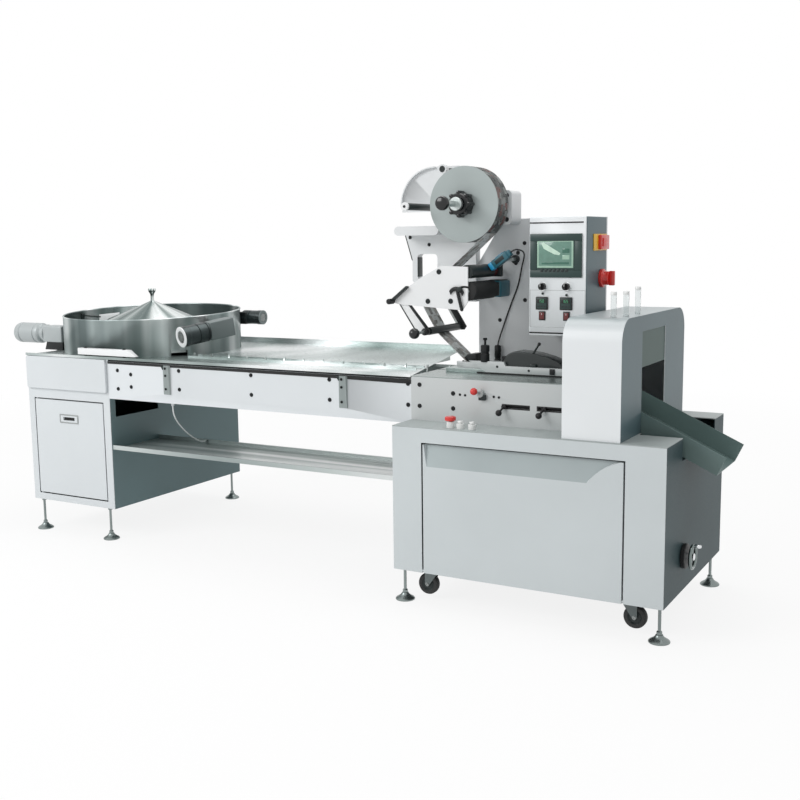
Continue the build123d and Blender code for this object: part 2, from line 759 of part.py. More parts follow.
def caster_wheel(x, y, trail):
    half = CASTER_WHEEL_WIDTH / 2
    bore = CASTER_AXLE_RADIUS + RUNNING_GAP
    profile = [(bore, -half), (CASTER_HUB_RADIUS, -half + CASTER_HUB_RECESS),
               (CASTER_HUB_RADIUS, -half), (CASTER_WHEEL_RADIUS - CASTER_TREAD_ROUND, -half),
               (CASTER_WHEEL_RADIUS, -half + CASTER_TREAD_ROUND),
               (CASTER_WHEEL_RADIUS, half - CASTER_TREAD_ROUND),
               (CASTER_WHEEL_RADIUS - CASTER_TREAD_ROUND, half), (CASTER_HUB_RADIUS, half),
               (CASTER_HUB_RADIUS, half - CASTER_HUB_RECESS), (bore, half)]
    return Pos(x + trail, y, CASTER_WHEEL_Z) * Rot(RIGHT_ANGLE, 0, 0) * turned(profile)


def rear_casters():
    """The two casters at the back, swivelled as the front ones are."""
    y = BODY_DEPTH - CASTER_BACK_INSET
    pair = []
    for x, trail in ((CASTER_LEFT_X, -CASTER_TRAIL), (CASTER_RIGHT_X, CASTER_TRAIL)):
        pair.append(caster_plate(x, y))
        pair.append(caster_fork(x, y, trail))
        pair.append(caster_wheel(x, y, trail))
    return apart(*pair)


def feeder_left_wall():
    return slab(CABINET_LEFT, CABINET_LEFT + SHEET, CABINET_FRONT + SHEET,
                CABINET_BACK - SHEET, CABINET_BOTTOM, DECK_BOTTOM)


def feeder_right_wall():
    wall = slab(CABINET_RIGHT - SHEET, CABINET_RIGHT, CABINET_FRONT + SHEET,
                CABINET_BACK - SHEET, CABINET_BOTTOM, DECK_BOTTOM)
    side_hole = slab(CABINET_RIGHT - SHEET - CUT, CABINET_RIGHT + CUT, SIDE_OPENING_FRONT,
                     SIDE_OPENING_BACK, SIDE_OPENING_BOTTOM, SIDE_OPENING_TOP)
    return wall - side_hole


def feeder_back_wall():
    return slab(CABINET_LEFT, CABINET_RIGHT, CABINET_BACK - SHEET, CABINET_BACK,
                CABINET_BOTTOM, DECK_BOTTOM)


def feeder_floor():
    return slab(CABINET_LEFT + SHEET, CABINET_RIGHT - SHEET, CABINET_FRONT + SHEET,
                CABINET_BACK - SHEET, CABINET_BOTTOM, CABINET_BOTTOM + SHEET)


def cabinet_pin_point():
    return (CABINET_LEFT + CABINET_DOOR_MARGIN_LEFT + CABINET_PIVOT_INSET,
            CABINET_FRONT + CABINET_PIVOT_Y_INSET)


def feeder_front_frame():
    left = CABINET_LEFT + CABINET_DOOR_MARGIN_LEFT
    right = CABINET_RIGHT - CABINET_DOOR_MARGIN_RIGHT
    face = middle_face(CABINET_LEFT, CABINET_RIGHT, CABINET_BOTTOM, DECK_BOTTOM)
    hole = middle_face(left - SWING_GAP, right + SWING_GAP,
                       CABINET_DOOR_BOTTOM - SWING_GAP, CABINET_DOOR_TOP + SWING_GAP)
    frame = plate_xz(face - hole, CABINET_FRONT, CABINET_FRONT + SHEET)
    x, y = cabinet_pin_point()
    for side, z in ((-1, CABINET_DOOR_BOTTOM), (1, CABINET_DOOR_TOP)):
        near = z + side * SWING_GAP
        far = near + side * CABINET_LUG
        inner = z - side * CABINET_PIN_REACH
        frame += slab(x - CABINET_LUG, x + CABINET_LUG, CABINET_FRONT,
                      y + CABINET_LUG, min(near, far), max(near, far))
        frame += rod_z(x, y, CABINET_PIN_RADIUS, min(near, inner), max(near, inner))
    return frame


def feeder_cover_panel():
    """Proud cover above the feeder's door, with rounded upright edges."""
    face = rounded_face(CABINET_LEFT + COVER_SIDE_GAP, CABINET_RIGHT - COVER_SIDE_GAP,
                        COVER_BOTTOM, DECK_BOTTOM - COVER_TOP_GAP, COVER_RADIUS)
    return plate_xz(face, CABINET_FRONT - COVER_DEPTH, CABINET_FRONT)


def feeder_door():
    left = CABINET_LEFT + CABINET_DOOR_MARGIN_LEFT
    right = CABINET_RIGHT - CABINET_DOOR_MARGIN_RIGHT
    front = CABINET_FRONT
    door = slab(left, right, front, front + CABINET_DOOR_THICKNESS,
                CABINET_DOOR_BOTTOM, CABINET_DOOR_TOP)
    pull_x = (left + right) / 2
    pull_z = CABINET_DOOR_TOP - PULL_DROP
    half_w = PULL_WIDTH / 2
    half_h = PULL_HEIGHT / 2
    ring = rounded_face(pull_x - half_w, pull_x + half_w, pull_z - half_h,
                        pull_z + half_h, PULL_RADIUS)
    door += plate_xz(ring, front - THIN_SHEET, front)
    slot = middle_face(pull_x - PULL_SLOT_WIDTH / 2, pull_x + PULL_SLOT_WIDTH / 2,
                       pull_z - PULL_SLOT_HEIGHT / 2, pull_z + PULL_SLOT_HEIGHT / 2)
    door -= plate_xz(slot, front - CUT, front + PULL_DEPTH)
    x, y = cabinet_pin_point()
    depth = CABINET_PIN_REACH + CUT
    for low in (CABINET_DOOR_BOTTOM, CABINET_DOOR_TOP - depth):
        door -= rod_z(x, y, CABINET_PIN_RADIUS + RUNNING_GAP, low, low + depth)
    return door


def channel_face(web_y, side):
    """C section of a conveyor rail; side +1 turns the flanges to the back."""
    inner = web_y + side * RAIL_WEB
    tip = web_y + side * RAIL_FLANGE
    return outline([(web_y, RAIL_BOTTOM), (tip, RAIL_BOTTOM), (tip, RAIL_BOTTOM + RAIL_WEB),
                    (inner, RAIL_BOTTOM + RAIL_WEB), (inner, RAIL_TOP - RAIL_WEB),
                    (tip, RAIL_TOP - RAIL_WEB), (tip, RAIL_TOP), (web_y, RAIL_TOP)])


def spacer_strip(web_y, side):
    near = web_y + side * SPACER_INSET
    far = near - side * SPACER_WIDTH
    return slab(CABINET_RIGHT, 0, min(near, far), max(near, far), RAIL_TOP, DECK_BOTTOM)


def rail_bracket(x):
    """Folded upright on the front rail with a small gusset under the deck."""
    left = x - BRACKET_WIDTH / 2
    right = x + BRACKET_WIDTH / 2
    top = RAIL_TOP - RAIL_WEB
    bottom = top - BRACKET_DROP
    back = RAIL_FRONT
    upright = slab(left, right, back - BRACKET_WALL, back, bottom, top)
    fin_face = outline([(back - BRACKET_WALL, bottom), (back - BRACKET_WALL, top),
                        (back - BRACKET_DEPTH, top), (back - BRACKET_DEPTH / 2, bottom)])
    return upright + plate_yz(fin_face, right - BRACKET_WALL, right)


def front_rail():
    rail = plate_yz(channel_face(RAIL_FRONT, 1), CABINET_RIGHT, 0)
    rail += spacer_strip(RAIL_FRONT, 1)
    x, y, z = HOSE_ROUTE[0]
    rail += rod_z(x, y, HOSE_GLAND_RADIUS, z, RAIL_BOTTOM)
    for x in ARM_XS:
        rail += rail_bracket(x)
    return rail


def back_rail():
    """Back channel, with the two arms that carry the wide deck behind it."""
    rail = plate_yz(channel_face(RAIL_BACK, -1), CABINET_RIGHT, 0)
    rail += spacer_strip(RAIL_BACK, -1)
    for x in ARM_XS:
        rail += slab(x - ARM_WIDTH / 2, x + ARM_WIDTH / 2, RAIL_BACK,
                     CABINET_BACK - SPACER_INSET, DECK_BOTTOM - ARM_HEIGHT, DECK_BOTTOM)
        rail += slab(x - ARM_WIDTH / 2, x + ARM_WIDTH / 2, RAIL_BACK - SPACER_WIDTH,
                     RAIL_BACK, RAIL_TOP, DECK_BOTTOM)
    return rail + table_back_wall()


def deck_edge(z0, z1, inset):
    left = CABINET_LEFT + inset
    return plate_xy(outline([(left, DECK_FRONT + inset), (DECK_RIGHT - inset, DECK_FRONT + inset),
                             (DECK_RIGHT_BACK - inset, CABINET_BACK - inset),
                             (left, CABINET_BACK - inset)]), z0, z1)


def deck_pan():
    """Wide stainless deck with a low front lip, a tall back lip and a chain slot."""
    pan = deck_edge(DECK_BOTTOM, DECK_TOP, 0)
    lips = deck_edge(DECK_TOP, DECK_TOP + DECK_BACK_LIP, 0)
    lips -= deck_edge(DECK_TOP - CUT, DECK_TOP + DECK_BACK_LIP + CUT, THIN_SHEET)
    back_zone = slab(CABINET_LEFT - CUT, DECK_RIGHT + CUT, CABINET_BACK - THIN_SHEET,
                     CABINET_BACK, DECK_TOP, DECK_TOP + DECK_BACK_LIP)
    front_zone = slab(CABINET_LEFT - CUT, DECK_RIGHT + CUT, DECK_FRONT,
                      DECK_FRONT + THIN_SHEET, DECK_TOP, DECK_TOP + DECK_LIP)
    shelf_back = DRUM_SHELF_FRONT + DRUM_SHELF_LENGTH
    shelf_left = CABINET_LEFT - DRUM_SHELF_WIDTH
    pan += plate_xy(outline([(CABINET_LEFT + CUT, DRUM_SHELF_FRONT), (CABINET_LEFT + CUT, shelf_back),
                             (shelf_left, shelf_back - DRUM_SHELF_SLANT),
                             (shelf_left, DRUM_SHELF_FRONT + DRUM_SHELF_SLANT)]),
                    DECK_BOTTOM, DECK_TOP)
    pan += lips & back_zone
    pan += lips & front_zone
    slot_low = PRODUCT_LINE_Y - DECK_CHANNEL_HALF
    slot_high = PRODUCT_LINE_Y + DECK_CHANNEL_HALF
    pan -= slab(DECK_CHANNEL_LEFT, DECK_RIGHT + CUT, slot_low, slot_high,
                DECK_BOTTOM - CUT, DECK_TOP + CUT)
    for side in (-1, 1):
        near = PRODUCT_LINE_Y + side * GUIDE_HALF
        far = near + side * GUIDE_WIDTH
        pan += slab(GUIDE_LEFT, GUIDE_RIGHT, min(near, far), max(near, far),
                    DECK_TOP, DECK_TOP + GUIDE_HEIGHT)
    boss = rod_z(DRUM_X, DRUM_Y, DISC_BOSS_RADIUS, DECK_BOTTOM - DISC_BOSS_DROP,
                 DECK_TOP + DISC_BOSS_TOP)
    bore = rod_z(DRUM_X, DRUM_Y, DISC_SHAFT_RADIUS + RUNNING_GAP,
                 DECK_BOTTOM - DISC_BOSS_DROP - CUT, DECK_TOP + DISC_BOSS_TOP + CUT)
    return pan + boss - bore


def chain_band(radius):
    """Stadium outline round both chain wheels."""
    low = chain_axis_z() - radius
    high = chain_axis_z() + radius
    band = middle_face(CHAIN_LEFT_X, CHAIN_RIGHT_X, low, high)
    for x in (CHAIN_LEFT_X, CHAIN_RIGHT_X):
        band += Pos(x, chain_axis_z()) * Circle(radius)
    return band


def chain_axis_z():
    return DECK_BOTTOM - CHAIN_TOP_DROP - CHAIN_WHEEL_RADIUS


def pusher_chain():
    """One closed loop with pusher fingers, its two wheels and their cross shafts."""
    outer = chain_band(CHAIN_WHEEL_RADIUS)
    inner = chain_band(CHAIN_WHEEL_RADIUS - CHAIN_THICKNESS)
    half = CHAIN_WIDTH / 2
    loop = plate_xz(outer - inner, PRODUCT_LINE_Y - half, PRODUCT_LINE_Y + half)
    wheel_half = CHAIN_WHEEL_WIDTH / 2
    for x in (CHAIN_LEFT_X, CHAIN_RIGHT_X):
        loop += rod_y(x, chain_axis_z(), CHAIN_WHEEL_RADIUS - CHAIN_THICKNESS,
                      PRODUCT_LINE_Y - wheel_half, PRODUCT_LINE_Y + wheel_half)
        web = RAIL_WEB if x < 0 else SHEET
        loop += rod_y(x, chain_axis_z(), CHAIN_SHAFT_RADIUS, RAIL_FRONT + web, RAIL_BACK - RAIL_WEB)
    pitch = (CHAIN_RIGHT_X - CHAIN_LEFT_X) / PUSHER_COUNT
    top = chain_axis_z() + CHAIN_WHEEL_RADIUS
    bottom = chain_axis_z() - CHAIN_WHEEL_RADIUS
    root = CHAIN_THICKNESS / 2
    for index in range(PUSHER_COUNT):
        x = CHAIN_LEFT_X + (index + 1 / 2) * pitch
        y0 = PRODUCT_LINE_Y - PUSHER_WIDTH / 2
        if x > DRUM_X + DRUM_RADIUS:
            loop += slab(x, x + PUSHER_LENGTH, y0, y0 + PUSHER_WIDTH, top - root, top + PUSHER_HEIGHT)
        if index % 2 == 0:
            loop += slab(x, x + PUSHER_LENGTH, y0, y0 + PUSHER_WIDTH,
                         bottom - PUSHER_HEIGHT, bottom + root)
    return loop


def lower_tray():
    """Shallow folded pan that ties the two cabinets together near the floor."""
    t = THIN_SHEET
    section = outline([(TRAY_FRONT + TRAY_HEM, TRAY_BOTTOM + TRAY_FLANGE - t),
                       (TRAY_FRONT + TRAY_HEM, TRAY_BOTTOM + TRAY_FLANGE),
                       (TRAY_FRONT, TRAY_BOTTOM + TRAY_FLANGE), (TRAY_FRONT, TRAY_BOTTOM),
                       (TRAY_BACK, TRAY_BOTTOM), (TRAY_BACK, TRAY_BOTTOM + TRAY_FLANGE),
                       (TRAY_BACK - TRAY_HEM, TRAY_BOTTOM + TRAY_FLANGE),
                       (TRAY_BACK - TRAY_HEM, TRAY_BOTTOM + TRAY_FLANGE - t),
                       (TRAY_BACK - t, TRAY_BOTTOM + TRAY_FLANGE - t),
                       (TRAY_BACK - t, TRAY_BOTTOM + t), (TRAY_FRONT + t, TRAY_BOTTOM + t),
                       (TRAY_FRONT + t, TRAY_BOTTOM + TRAY_FLANGE - t)])
    tray = plate_yz(section, CABINET_RIGHT, 0)
    x, y, z = HOSE_ROUTE[-1]
    return tray + rod_y(x, z, HOSE_GLAND_RADIUS, y, TRAY_BACK - t)


# Route of the drip hose, from its gland under the rail to the gland on the tray
HOSE_ROUTE = [(-1238.0, 182.0, 662.0), (-1238.0, 182.0, 644.0), (-1240.0, 189.0, 620.0),
              (-1245.0, 206.0, 596.0), (-1251.0, 230.0, 573.0), (-1258.0, 259.0, 550.0),
              (-1266.0, 290.0, 528.0), (-1273.0, 322.0, 507.0), (-1280.0, 355.0, 488.0),
              (-1286.0, 388.0, 471.0), (-1292.0, 420.0, 457.0), (-1295.0, 446.0, 449.0),
              (-1295.0, 466.0, 449.0)]
# Route of the sensor cable between its two ends, along the head plate to the table
CABLE_MIDDLE = [(336.0, 424.0, 1342.0), (340.0, 456.0, 1336.0), (332.0, 488.0, 1322.0),
                (317.0, 516.0, 1302.0), (301.0, 535.0, 1274.0), (291.0, 543.0, 1238.0),
                (281.0, 545.0, 1198.0), (264.0, 545.0, 1156.0), (246.0, 545.0, 1112.0),
                (229.0, 544.0, 1066.0), (214.0, 541.0, 1020.0), (202.0, 537.0, 982.0)]
ARC_SHARE = 0.45


def soft_tube(route, radius, label):
    """Tube of straight runs joined by the largest arcs that the runs allow."""
    points = [Vector(*p) for p in route]
    radii = []
    for before, here, after in zip(points, points[1:], points[2:]):
        turn = (here - before).get_angle(after - here)
        run = min((here - before).length, (after - here).length)
        radii.append(ARC_SHARE * run / math.tan(math.radians(turn) / 2))
    path = FilletPolyline(*points, radius=radii)
    start = Plane(origin=points[0], z_dir=points[1] - points[0])
    tube = sweep(start * Circle(radius), path=path)
    print(label, "length", round(path.length, 1), "tightest", round(min(radii), 1),
          "volume share", round(tube.volume / (math.pi * radius ** 2 * path.length), 4))
    return tube


def disc_drum():
    """Polished round wall of the feeder with a rolled rim."""
    high = DRUM_RIM + DRUM_RADIUS * math.tan(math.radians(RIM_SLOPE)) + DRUM_BEAD_RADIUS
    wall = turned([(DRUM_RADIUS - DRUM_WALL, DECK_TOP), (DRUM_RADIUS, DECK_TOP),
                   (DRUM_RADIUS, high), (DRUM_RADIUS - DRUM_WALL, high)])
    rim_plane = Pos(0, 0, DRUM_RIM) * Rot(RIM_SLOPE, 0, 0)
    wall -= rim_plane * Pos(0, 0, DRUM_RADIUS / 2) * Box(DRUM_RADIUS * 3, DRUM_RADIUS * 3, DRUM_RADIUS)
    bead = rim_plane * Torus(DRUM_RADIUS - DRUM_WALL / 2, DRUM_BEAD_RADIUS)
    wall = Pos(DRUM_X, DRUM_Y, 0) * (wall + bead)
    slot = slab(DRUM_X, DRUM_X + DRUM_RADIUS + CUT, PRODUCT_LINE_Y - GUIDE_HALF,
                PRODUCT_LINE_Y + GUIDE_HALF, DECK_TOP - CUT, DISC_BOTTOM + DISC_THICKNESS)
    left_slot = slab(DRUM_X - DRUM_RADIUS - CUT, DRUM_X, PRODUCT_LINE_Y - DECK_CHANNEL_HALF,
                     PRODUCT_LINE_Y + DECK_CHANNEL_HALF, DECK_TOP - CUT, DECK_TOP)
    return wall - slot - left_slot


def feed_disc():
    """Rotating disc with a ring of shallow pockets, on its driven shaft."""
    top = DISC_BOTTOM + DISC_THICKNESS
    disc = rod_z(0, 0, DRUM_RADIUS - DRUM_WALL - DISC_CLEARANCE, DISC_BOTTOM, top)
    pocket = plate_xy(SlotOverall(POCKET_LENGTH, POCKET_WIDTH), top - POCKET_DEPTH, top + CUT)
    for index in range(POCKET_COUNT):
        disc -= Rot(0, 0, index * FULL_TURN / POCKET_COUNT) * Pos(POCKET_RING_RADIUS, 0, 0) * pocket
    shaft = rod_z(0, 0, DISC_SHAFT_RADIUS, DECK_BOTTOM - DISC_BOSS_DROP, DISC_BOTTOM)
    return Pos(DRUM_X, DRUM_Y, 0) * (disc + shaft)


def feed_cone():
    """Sheet cone that slides the pieces out to the pockets, with a turned knob."""
    low = DISC_BOTTOM + DISC_THICKNESS
    slope = (CONE_BASE_RADIUS - CONE_NECK_RADIUS) / (CONE_TOP - low - CONE_RIM)
    profile = [(CONE_BASE_RADIUS - CONE_SHEET, low), (CONE_BASE_RADIUS, low),
               (CONE_BASE_RADIUS, low + CONE_RIM), (CONE_NECK_RADIUS, CONE_TOP), (0, CONE_TOP),
               (0, CONE_TOP - CONE_SHEET * 2),
               (CONE_BASE_RADIUS - CONE_SHEET - slope * CONE_SHEET, low + CONE_RIM)]
    cone = turned(profile)
    top = CONE_TOP + KNOB_HEIGHT
    knob = turned([(0, CONE_TOP - CONE_SHEET), (KNOB_STEM_RADIUS, CONE_TOP - CONE_SHEET),
                   (KNOB_STEM_RADIUS, CONE_TOP + KNOB_HEIGHT / 3),
                   (KNOB_TOP_RADIUS, top - KNOB_EDGE), (KNOB_TOP_RADIUS, top), (0, top)])
    return Pos(DRUM_X, DRUM_Y, 0) * (cone + knob)


def drum_guides():
    """Deflector vane hung inside the drum, and the guide bar screwed at its foot."""
    vane_y = DRUM_Y + VANE_OFFSET_Y
    edge = abs(VANE_OFFSET_Y) + THIN_SHEET
    wall_x = DRUM_X - math.sqrt((DRUM_RADIUS - DRUM_WALL) ** 2 - edge ** 2)
    top = DRUM_RIM - VANE_TOP_DROP
    vane = plate_xz(outline([(wall_x, top - VANE_OUTER_HEIGHT),
                             (DRUM_X - VANE_MIDDLE_RADIUS, top - VANE_MIDDLE_HEIGHT),
                             (DRUM_X - VANE_INNER_RADIUS, top - VANE_INNER_HEIGHT),
                             (DRUM_X - VANE_INNER_RADIUS, top), (wall_x, top)]),
                    vane_y - THIN_SHEET, vane_y + THIN_SHEET)
    low = DECK_TOP
    high = DECK_TOP + GUIDE_BAR_HEIGHT
    right = GUIDE_BAR_X + GUIDE_BAR_LENGTH
    bar = outline([(GUIDE_BAR_X, low), (right, low), (right - GUIDE_BAR_SLANT, high),
                   (GUIDE_BAR_X, high)])
    front = DECK_FRONT + THIN_SHEET
    return apart(vane, plate_xz(bar, front, front + GUIDE_BAR_WIDTH))


def finned_motor(radius, length):
    """Motor barrel along +Z with cooling grooves and a fan cover ring."""
    body = rod_z(0, 0, radius, 0, length)
    body += rod_z(0, 0, radius + MOTOR_RING_STEP / 2, length - MOTOR_RING, length)
    body -= rod_z(0, 0, radius - MOTOR_RING, length - MOTOR_RING_STEP, length + CUT)
    grooves = int((length - 2 * MOTOR_RING) // MOTOR_FIN_STEP)
    for index in range(grooves):
        z = MOTOR_RING + index * MOTOR_FIN_STEP
        ring = rod_z(0, 0, radius + CUT, z, z + MOTOR_FIN_WIDTH)
        body -= ring - rod_z(0, 0, radius - MOTOR_FIN_DEPTH, z, z + MOTOR_FIN_WIDTH)
    return body


def left_brush_motor():
    """Gearbox against the drum's left side with a finned motor behind it."""
    half = LEFT_GEARBOX_WIDTH / 2
    near = DRUM_X - math.sqrt(DRUM_RADIUS ** 2 - (DRUM_Y - LEFT_MOTOR_Y) ** 2)
    box = slab(near - LEFT_GEARBOX_LENGTH, near + LEFT_GEARBOX_WIDTH, LEFT_MOTOR_Y - half,
               LEFT_MOTOR_Y + half, LEFT_MOTOR_Z - LEFT_GEARBOX_HEIGHT / 2,
               LEFT_MOTOR_Z + LEFT_GEARBOX_HEIGHT / 2)
    box -= rod_z(DRUM_X, DRUM_Y, DRUM_RADIUS, DECK_TOP, DRUM_RIM)
    box = box.solids().sort_by(Axis.X)[0]
    barrel = Pos(near - LEFT_GEARBOX_LENGTH, LEFT_MOTOR_Y, LEFT_MOTOR_Z)
    barrel = barrel * Rot(0, -RIGHT_ANGLE, 0) * finned_motor(MOTOR_RADIUS, LEFT_MOTOR_LENGTH)
    return box + barrel


def front_brush_motor():
    """Motor and gear housing laid along the drum's wall, on a lug."""
    around = Pos(DRUM_X, DRUM_Y, FRONT_MOTOR_Z) * Rot(0, 0, FRONT_MOTOR_ANGLE)
    offset = DRUM_RADIUS + FRONT_MOTOR_OFFSET
    reach = FRONT_MOTOR_LENGTH + FRONT_MOTOR_SPLIT
    tilted = Pos(offset, -reach, 0) * Rot(FRONT_MOTOR_TILT, 0, 0) * Pos(0, reach, 0)
    barrel = tilted * Pos(0, -FRONT_MOTOR_SPLIT, 0) * Rot(RIGHT_ANGLE, 0, 0)
    barrel = barrel * finned_motor(FRONT_MOTOR_RADIUS, FRONT_MOTOR_LENGTH)
    housing = tilted * Pos(0, FRONT_HOUSING_LENGTH / 2 - FRONT_MOTOR_SPLIT, 0)
    housing = housing * Box(FRONT_HOUSING_WIDTH, FRONT_HOUSING_LENGTH, FRONT_HOUSING_HEIGHT)
    lug = Pos(offset - FRONT_MOTOR_OFFSET / 2, FRONT_HOUSING_LENGTH / 2 - FRONT_MOTOR_SPLIT,
              FRONT_LUG_RISE)
    lug = lug * Box(FRONT_MOTOR_OFFSET + FRONT_LUG_DEPTH, FRONT_LUG_WIDTH, FRONT_LUG_HEIGHT)
    motor = around * (barrel + housing + lug)
    return motor - rod_z(DRUM_X, DRUM_Y, DRUM_RADIUS, DECK_TOP, DRUM_RIM)


def rear_brush_motor():
    """Small gearbox and motor on the drum's back right."""
    half = REAR_GEARBOX_SIZE / 2
    wall_x = DRUM_X + math.sqrt(DRUM_RADIUS ** 2 - (REAR_MOTOR_Y - DRUM_Y) ** 2)
    end = wall_x + REAR_GEARBOX_LENGTH
    top = DRUM_RIM - DRUM_BEAD_RADIUS - SEAT_GAP
    box = slab(wall_x - REAR_GEARBOX_SIZE, end, REAR_MOTOR_Y - half, REAR_MOTOR_Y + half,
               REAR_MOTOR_Z - half, top)
    box -= rod_z(DRUM_X, DRUM_Y, DRUM_RADIUS, DECK_TOP, DRUM_RIM)
    box = box.solids().sort_by(Axis.X)[-1]
    cap = slab(wall_x + REAR_GEARBOX_LENGTH / 2, end, REAR_MOTOR_Y - half, REAR_MOTOR_Y + half,
               top - CUT, REAR_MOTOR_Z + half)
    box += cap - rod_z(DRUM_X, DRUM_Y, DRUM_RADIUS + DRUM_BEAD_RADIUS, DECK_TOP, DRUM_RIM * 2)
    barrel = Pos(end, REAR_MOTOR_Y, REAR_MOTOR_Z) * Rot(0, RIGHT_ANGLE, 0)
    return box + barrel * finned_motor(MOTOR_SMALL_RADIUS, REAR_MOTOR_LENGTH)


def brush_motors():
    return apart(left_brush_motor(), front_brush_motor(), rear_brush_motor())


def infeed_panel():
    """Panel under the table's front edge, with two lever slots and a locking knob."""
    panel = slab(0, TABLE_RIGHT, RAIL_FRONT, RAIL_FRONT + SHEET, BODY_TOP, TABLE_TOP - SHEET)
    for x in SLOT_XS:
        panel -= slab(x, x + SLOT_LENGTH, RAIL_FRONT - CUT, RAIL_FRONT + SHEET + CUT,
                      SLOT_Z - SLOT_HEIGHT / 2, SLOT_Z + SLOT_HEIGHT / 2)
    boss_front = RAIL_FRONT - PANEL_KNOB_BOSS_LENGTH
    boss_x = PANEL_KNOB_X + PANEL_KNOB_SIDESTEP
    boss_z = PANEL_KNOB_Z - PANEL_KNOB_BOSS_RADIUS
    panel += rod_y(boss_x, boss_z, PANEL_KNOB_BOSS_RADIUS, boss_front, RAIL_FRONT)
    reach = RAIL_FRONT - PANEL_KNOB_REACH
    arm = [(boss_x, boss_front + LEVER_STEM_RADIUS, boss_z), (PANEL_KNOB_X, reach, PANEL_KNOB_Z)]
    start = Vector(*arm[0])
    direction = Vector(*arm[1]) - start
    stem = Plane(origin=start, z_dir=direction) * Circle(LEVER_STEM_RADIUS)
    panel += extrude(stem, amount=direction.length)
    return panel + Pos(*arm[1]) * Sphere(PANEL_KNOB_RADIUS)


def table_top():
    top = slab(0, TABLE_RIGHT, RAIL_FRONT, RAIL_BACK, TABLE_TOP - SHEET, TABLE_TOP)
    slot_end = CHAIN_RIGHT_X + CHAIN_WHEEL_RADIUS + PUSHER_HEIGHT + PUSHER_LENGTH
    return top - slab(-CUT, slot_end, PRODUCT_LINE_Y - DECK_CHANNEL_HALF,
                      PRODUCT_LINE_Y + DECK_CHANNEL_HALF, TABLE_TOP - SHEET - CUT, TABLE_TOP + CUT)


def table_back_wall():
    """Plate behind the table, in line with the back rail's web."""
    return slab(-CUT, TABLE_RIGHT, RAIL_BACK - RAIL_WEB, RAIL_BACK, BODY_TOP, TABLE_TOP - SHEET)


def slot_lever(x):
    """Ball lever on a clamp that slides along its slot in the infeed panel."""
    back = RAIL_FRONT + SHEET + SEAT_GAP + LEVER_CLAMP_LENGTH
    front = RAIL_FRONT - SEAT_GAP - LEVER_CLAMP_LENGTH
    lever = rod_y(x, SLOT_Z, LEVER_STEM_RADIUS, front, back)
    lever += rod_y(x, SLOT_Z, LEVER_CLAMP_RADIUS, RAIL_FRONT + SHEET + SEAT_GAP, back)
    lever += rod_y(x, SLOT_Z, LEVER_CLAMP_RADIUS, front, RAIL_FRONT - SEAT_GAP)
    start = Vector(x, front + LEVER_STEM_RADIUS, SLOT_Z)
    end = Vector(x - LEVER_BALL_SIDESTEP, front - LEVER_REACH, SLOT_Z - LEVER_DROP)
    stem = Plane(origin=start, z_dir=end - start) * Circle(LEVER_STEM_RADIUS)
    lever += extrude(stem, amount=(end - start).length)
    return lever + Pos(end) * Sphere(LEVER_BALL_RADIUS)


def button_collars():
    """Collars of the three push buttons, with wells for their stems."""
    collars = []
    for x, height in zip(BUTTON_XS, BUTTON_BASE_HEIGHTS):
        top = BODY_TOP + height
        collar = rod_z(x, BUTTON_Y, BUTTON_BASE_RADIUS, BODY_TOP, top)
        collars.append(collar - rod_z(x, BUTTON_Y, BUTTON_STEM_RADIUS + RUNNING_GAP,
                                      top - BUTTON_WELL, top + CUT))
    return collars[0] + collars[1] + collars[2]


def push_button(index):
    x = BUTTON_XS[index]
    height = BUTTON_CAP_HEIGHTS[index]
    low = BODY_TOP + BUTTON_BASE_HEIGHTS[index] + BUTTON_TRAVEL + SEAT_GAP
    stem = rod_z(x, BUTTON_Y, BUTTON_STEM_RADIUS, low - BUTTON_WELL + BUTTON_TRAVEL, low)
    cap = rod_z(x, BUTTON_Y, BUTTON_CAP_RADII[index], low, low + height)
    rim = cap.edges().group_by(Axis.Z)[-1]
    return stem + fillet(rim, height / 3)


def head_plate():
    face = outline([(HEAD_LEFT, TABLE_TOP), (HEAD_RIGHT, TABLE_TOP), (HEAD_RIGHT, HEAD_TOP),
                    (HEAD_SHOULDER_X, HEAD_TOP), (HEAD_LEFT, HEAD_SHOULDER_Z)])
    return plate_xz(face, HEAD_Y, HEAD_BACK)


def control_box():
    box = slab(BOX_LEFT, BOX_RIGHT, BOX_FRONT, HEAD_Y, BOX_BOTTOM, HEAD_TOP)
    edges = box.edges().filter_by(Axis.Y) + box.edges().group_by(Axis.Y)[0]
    return fillet(edges, BOX_EDGE)


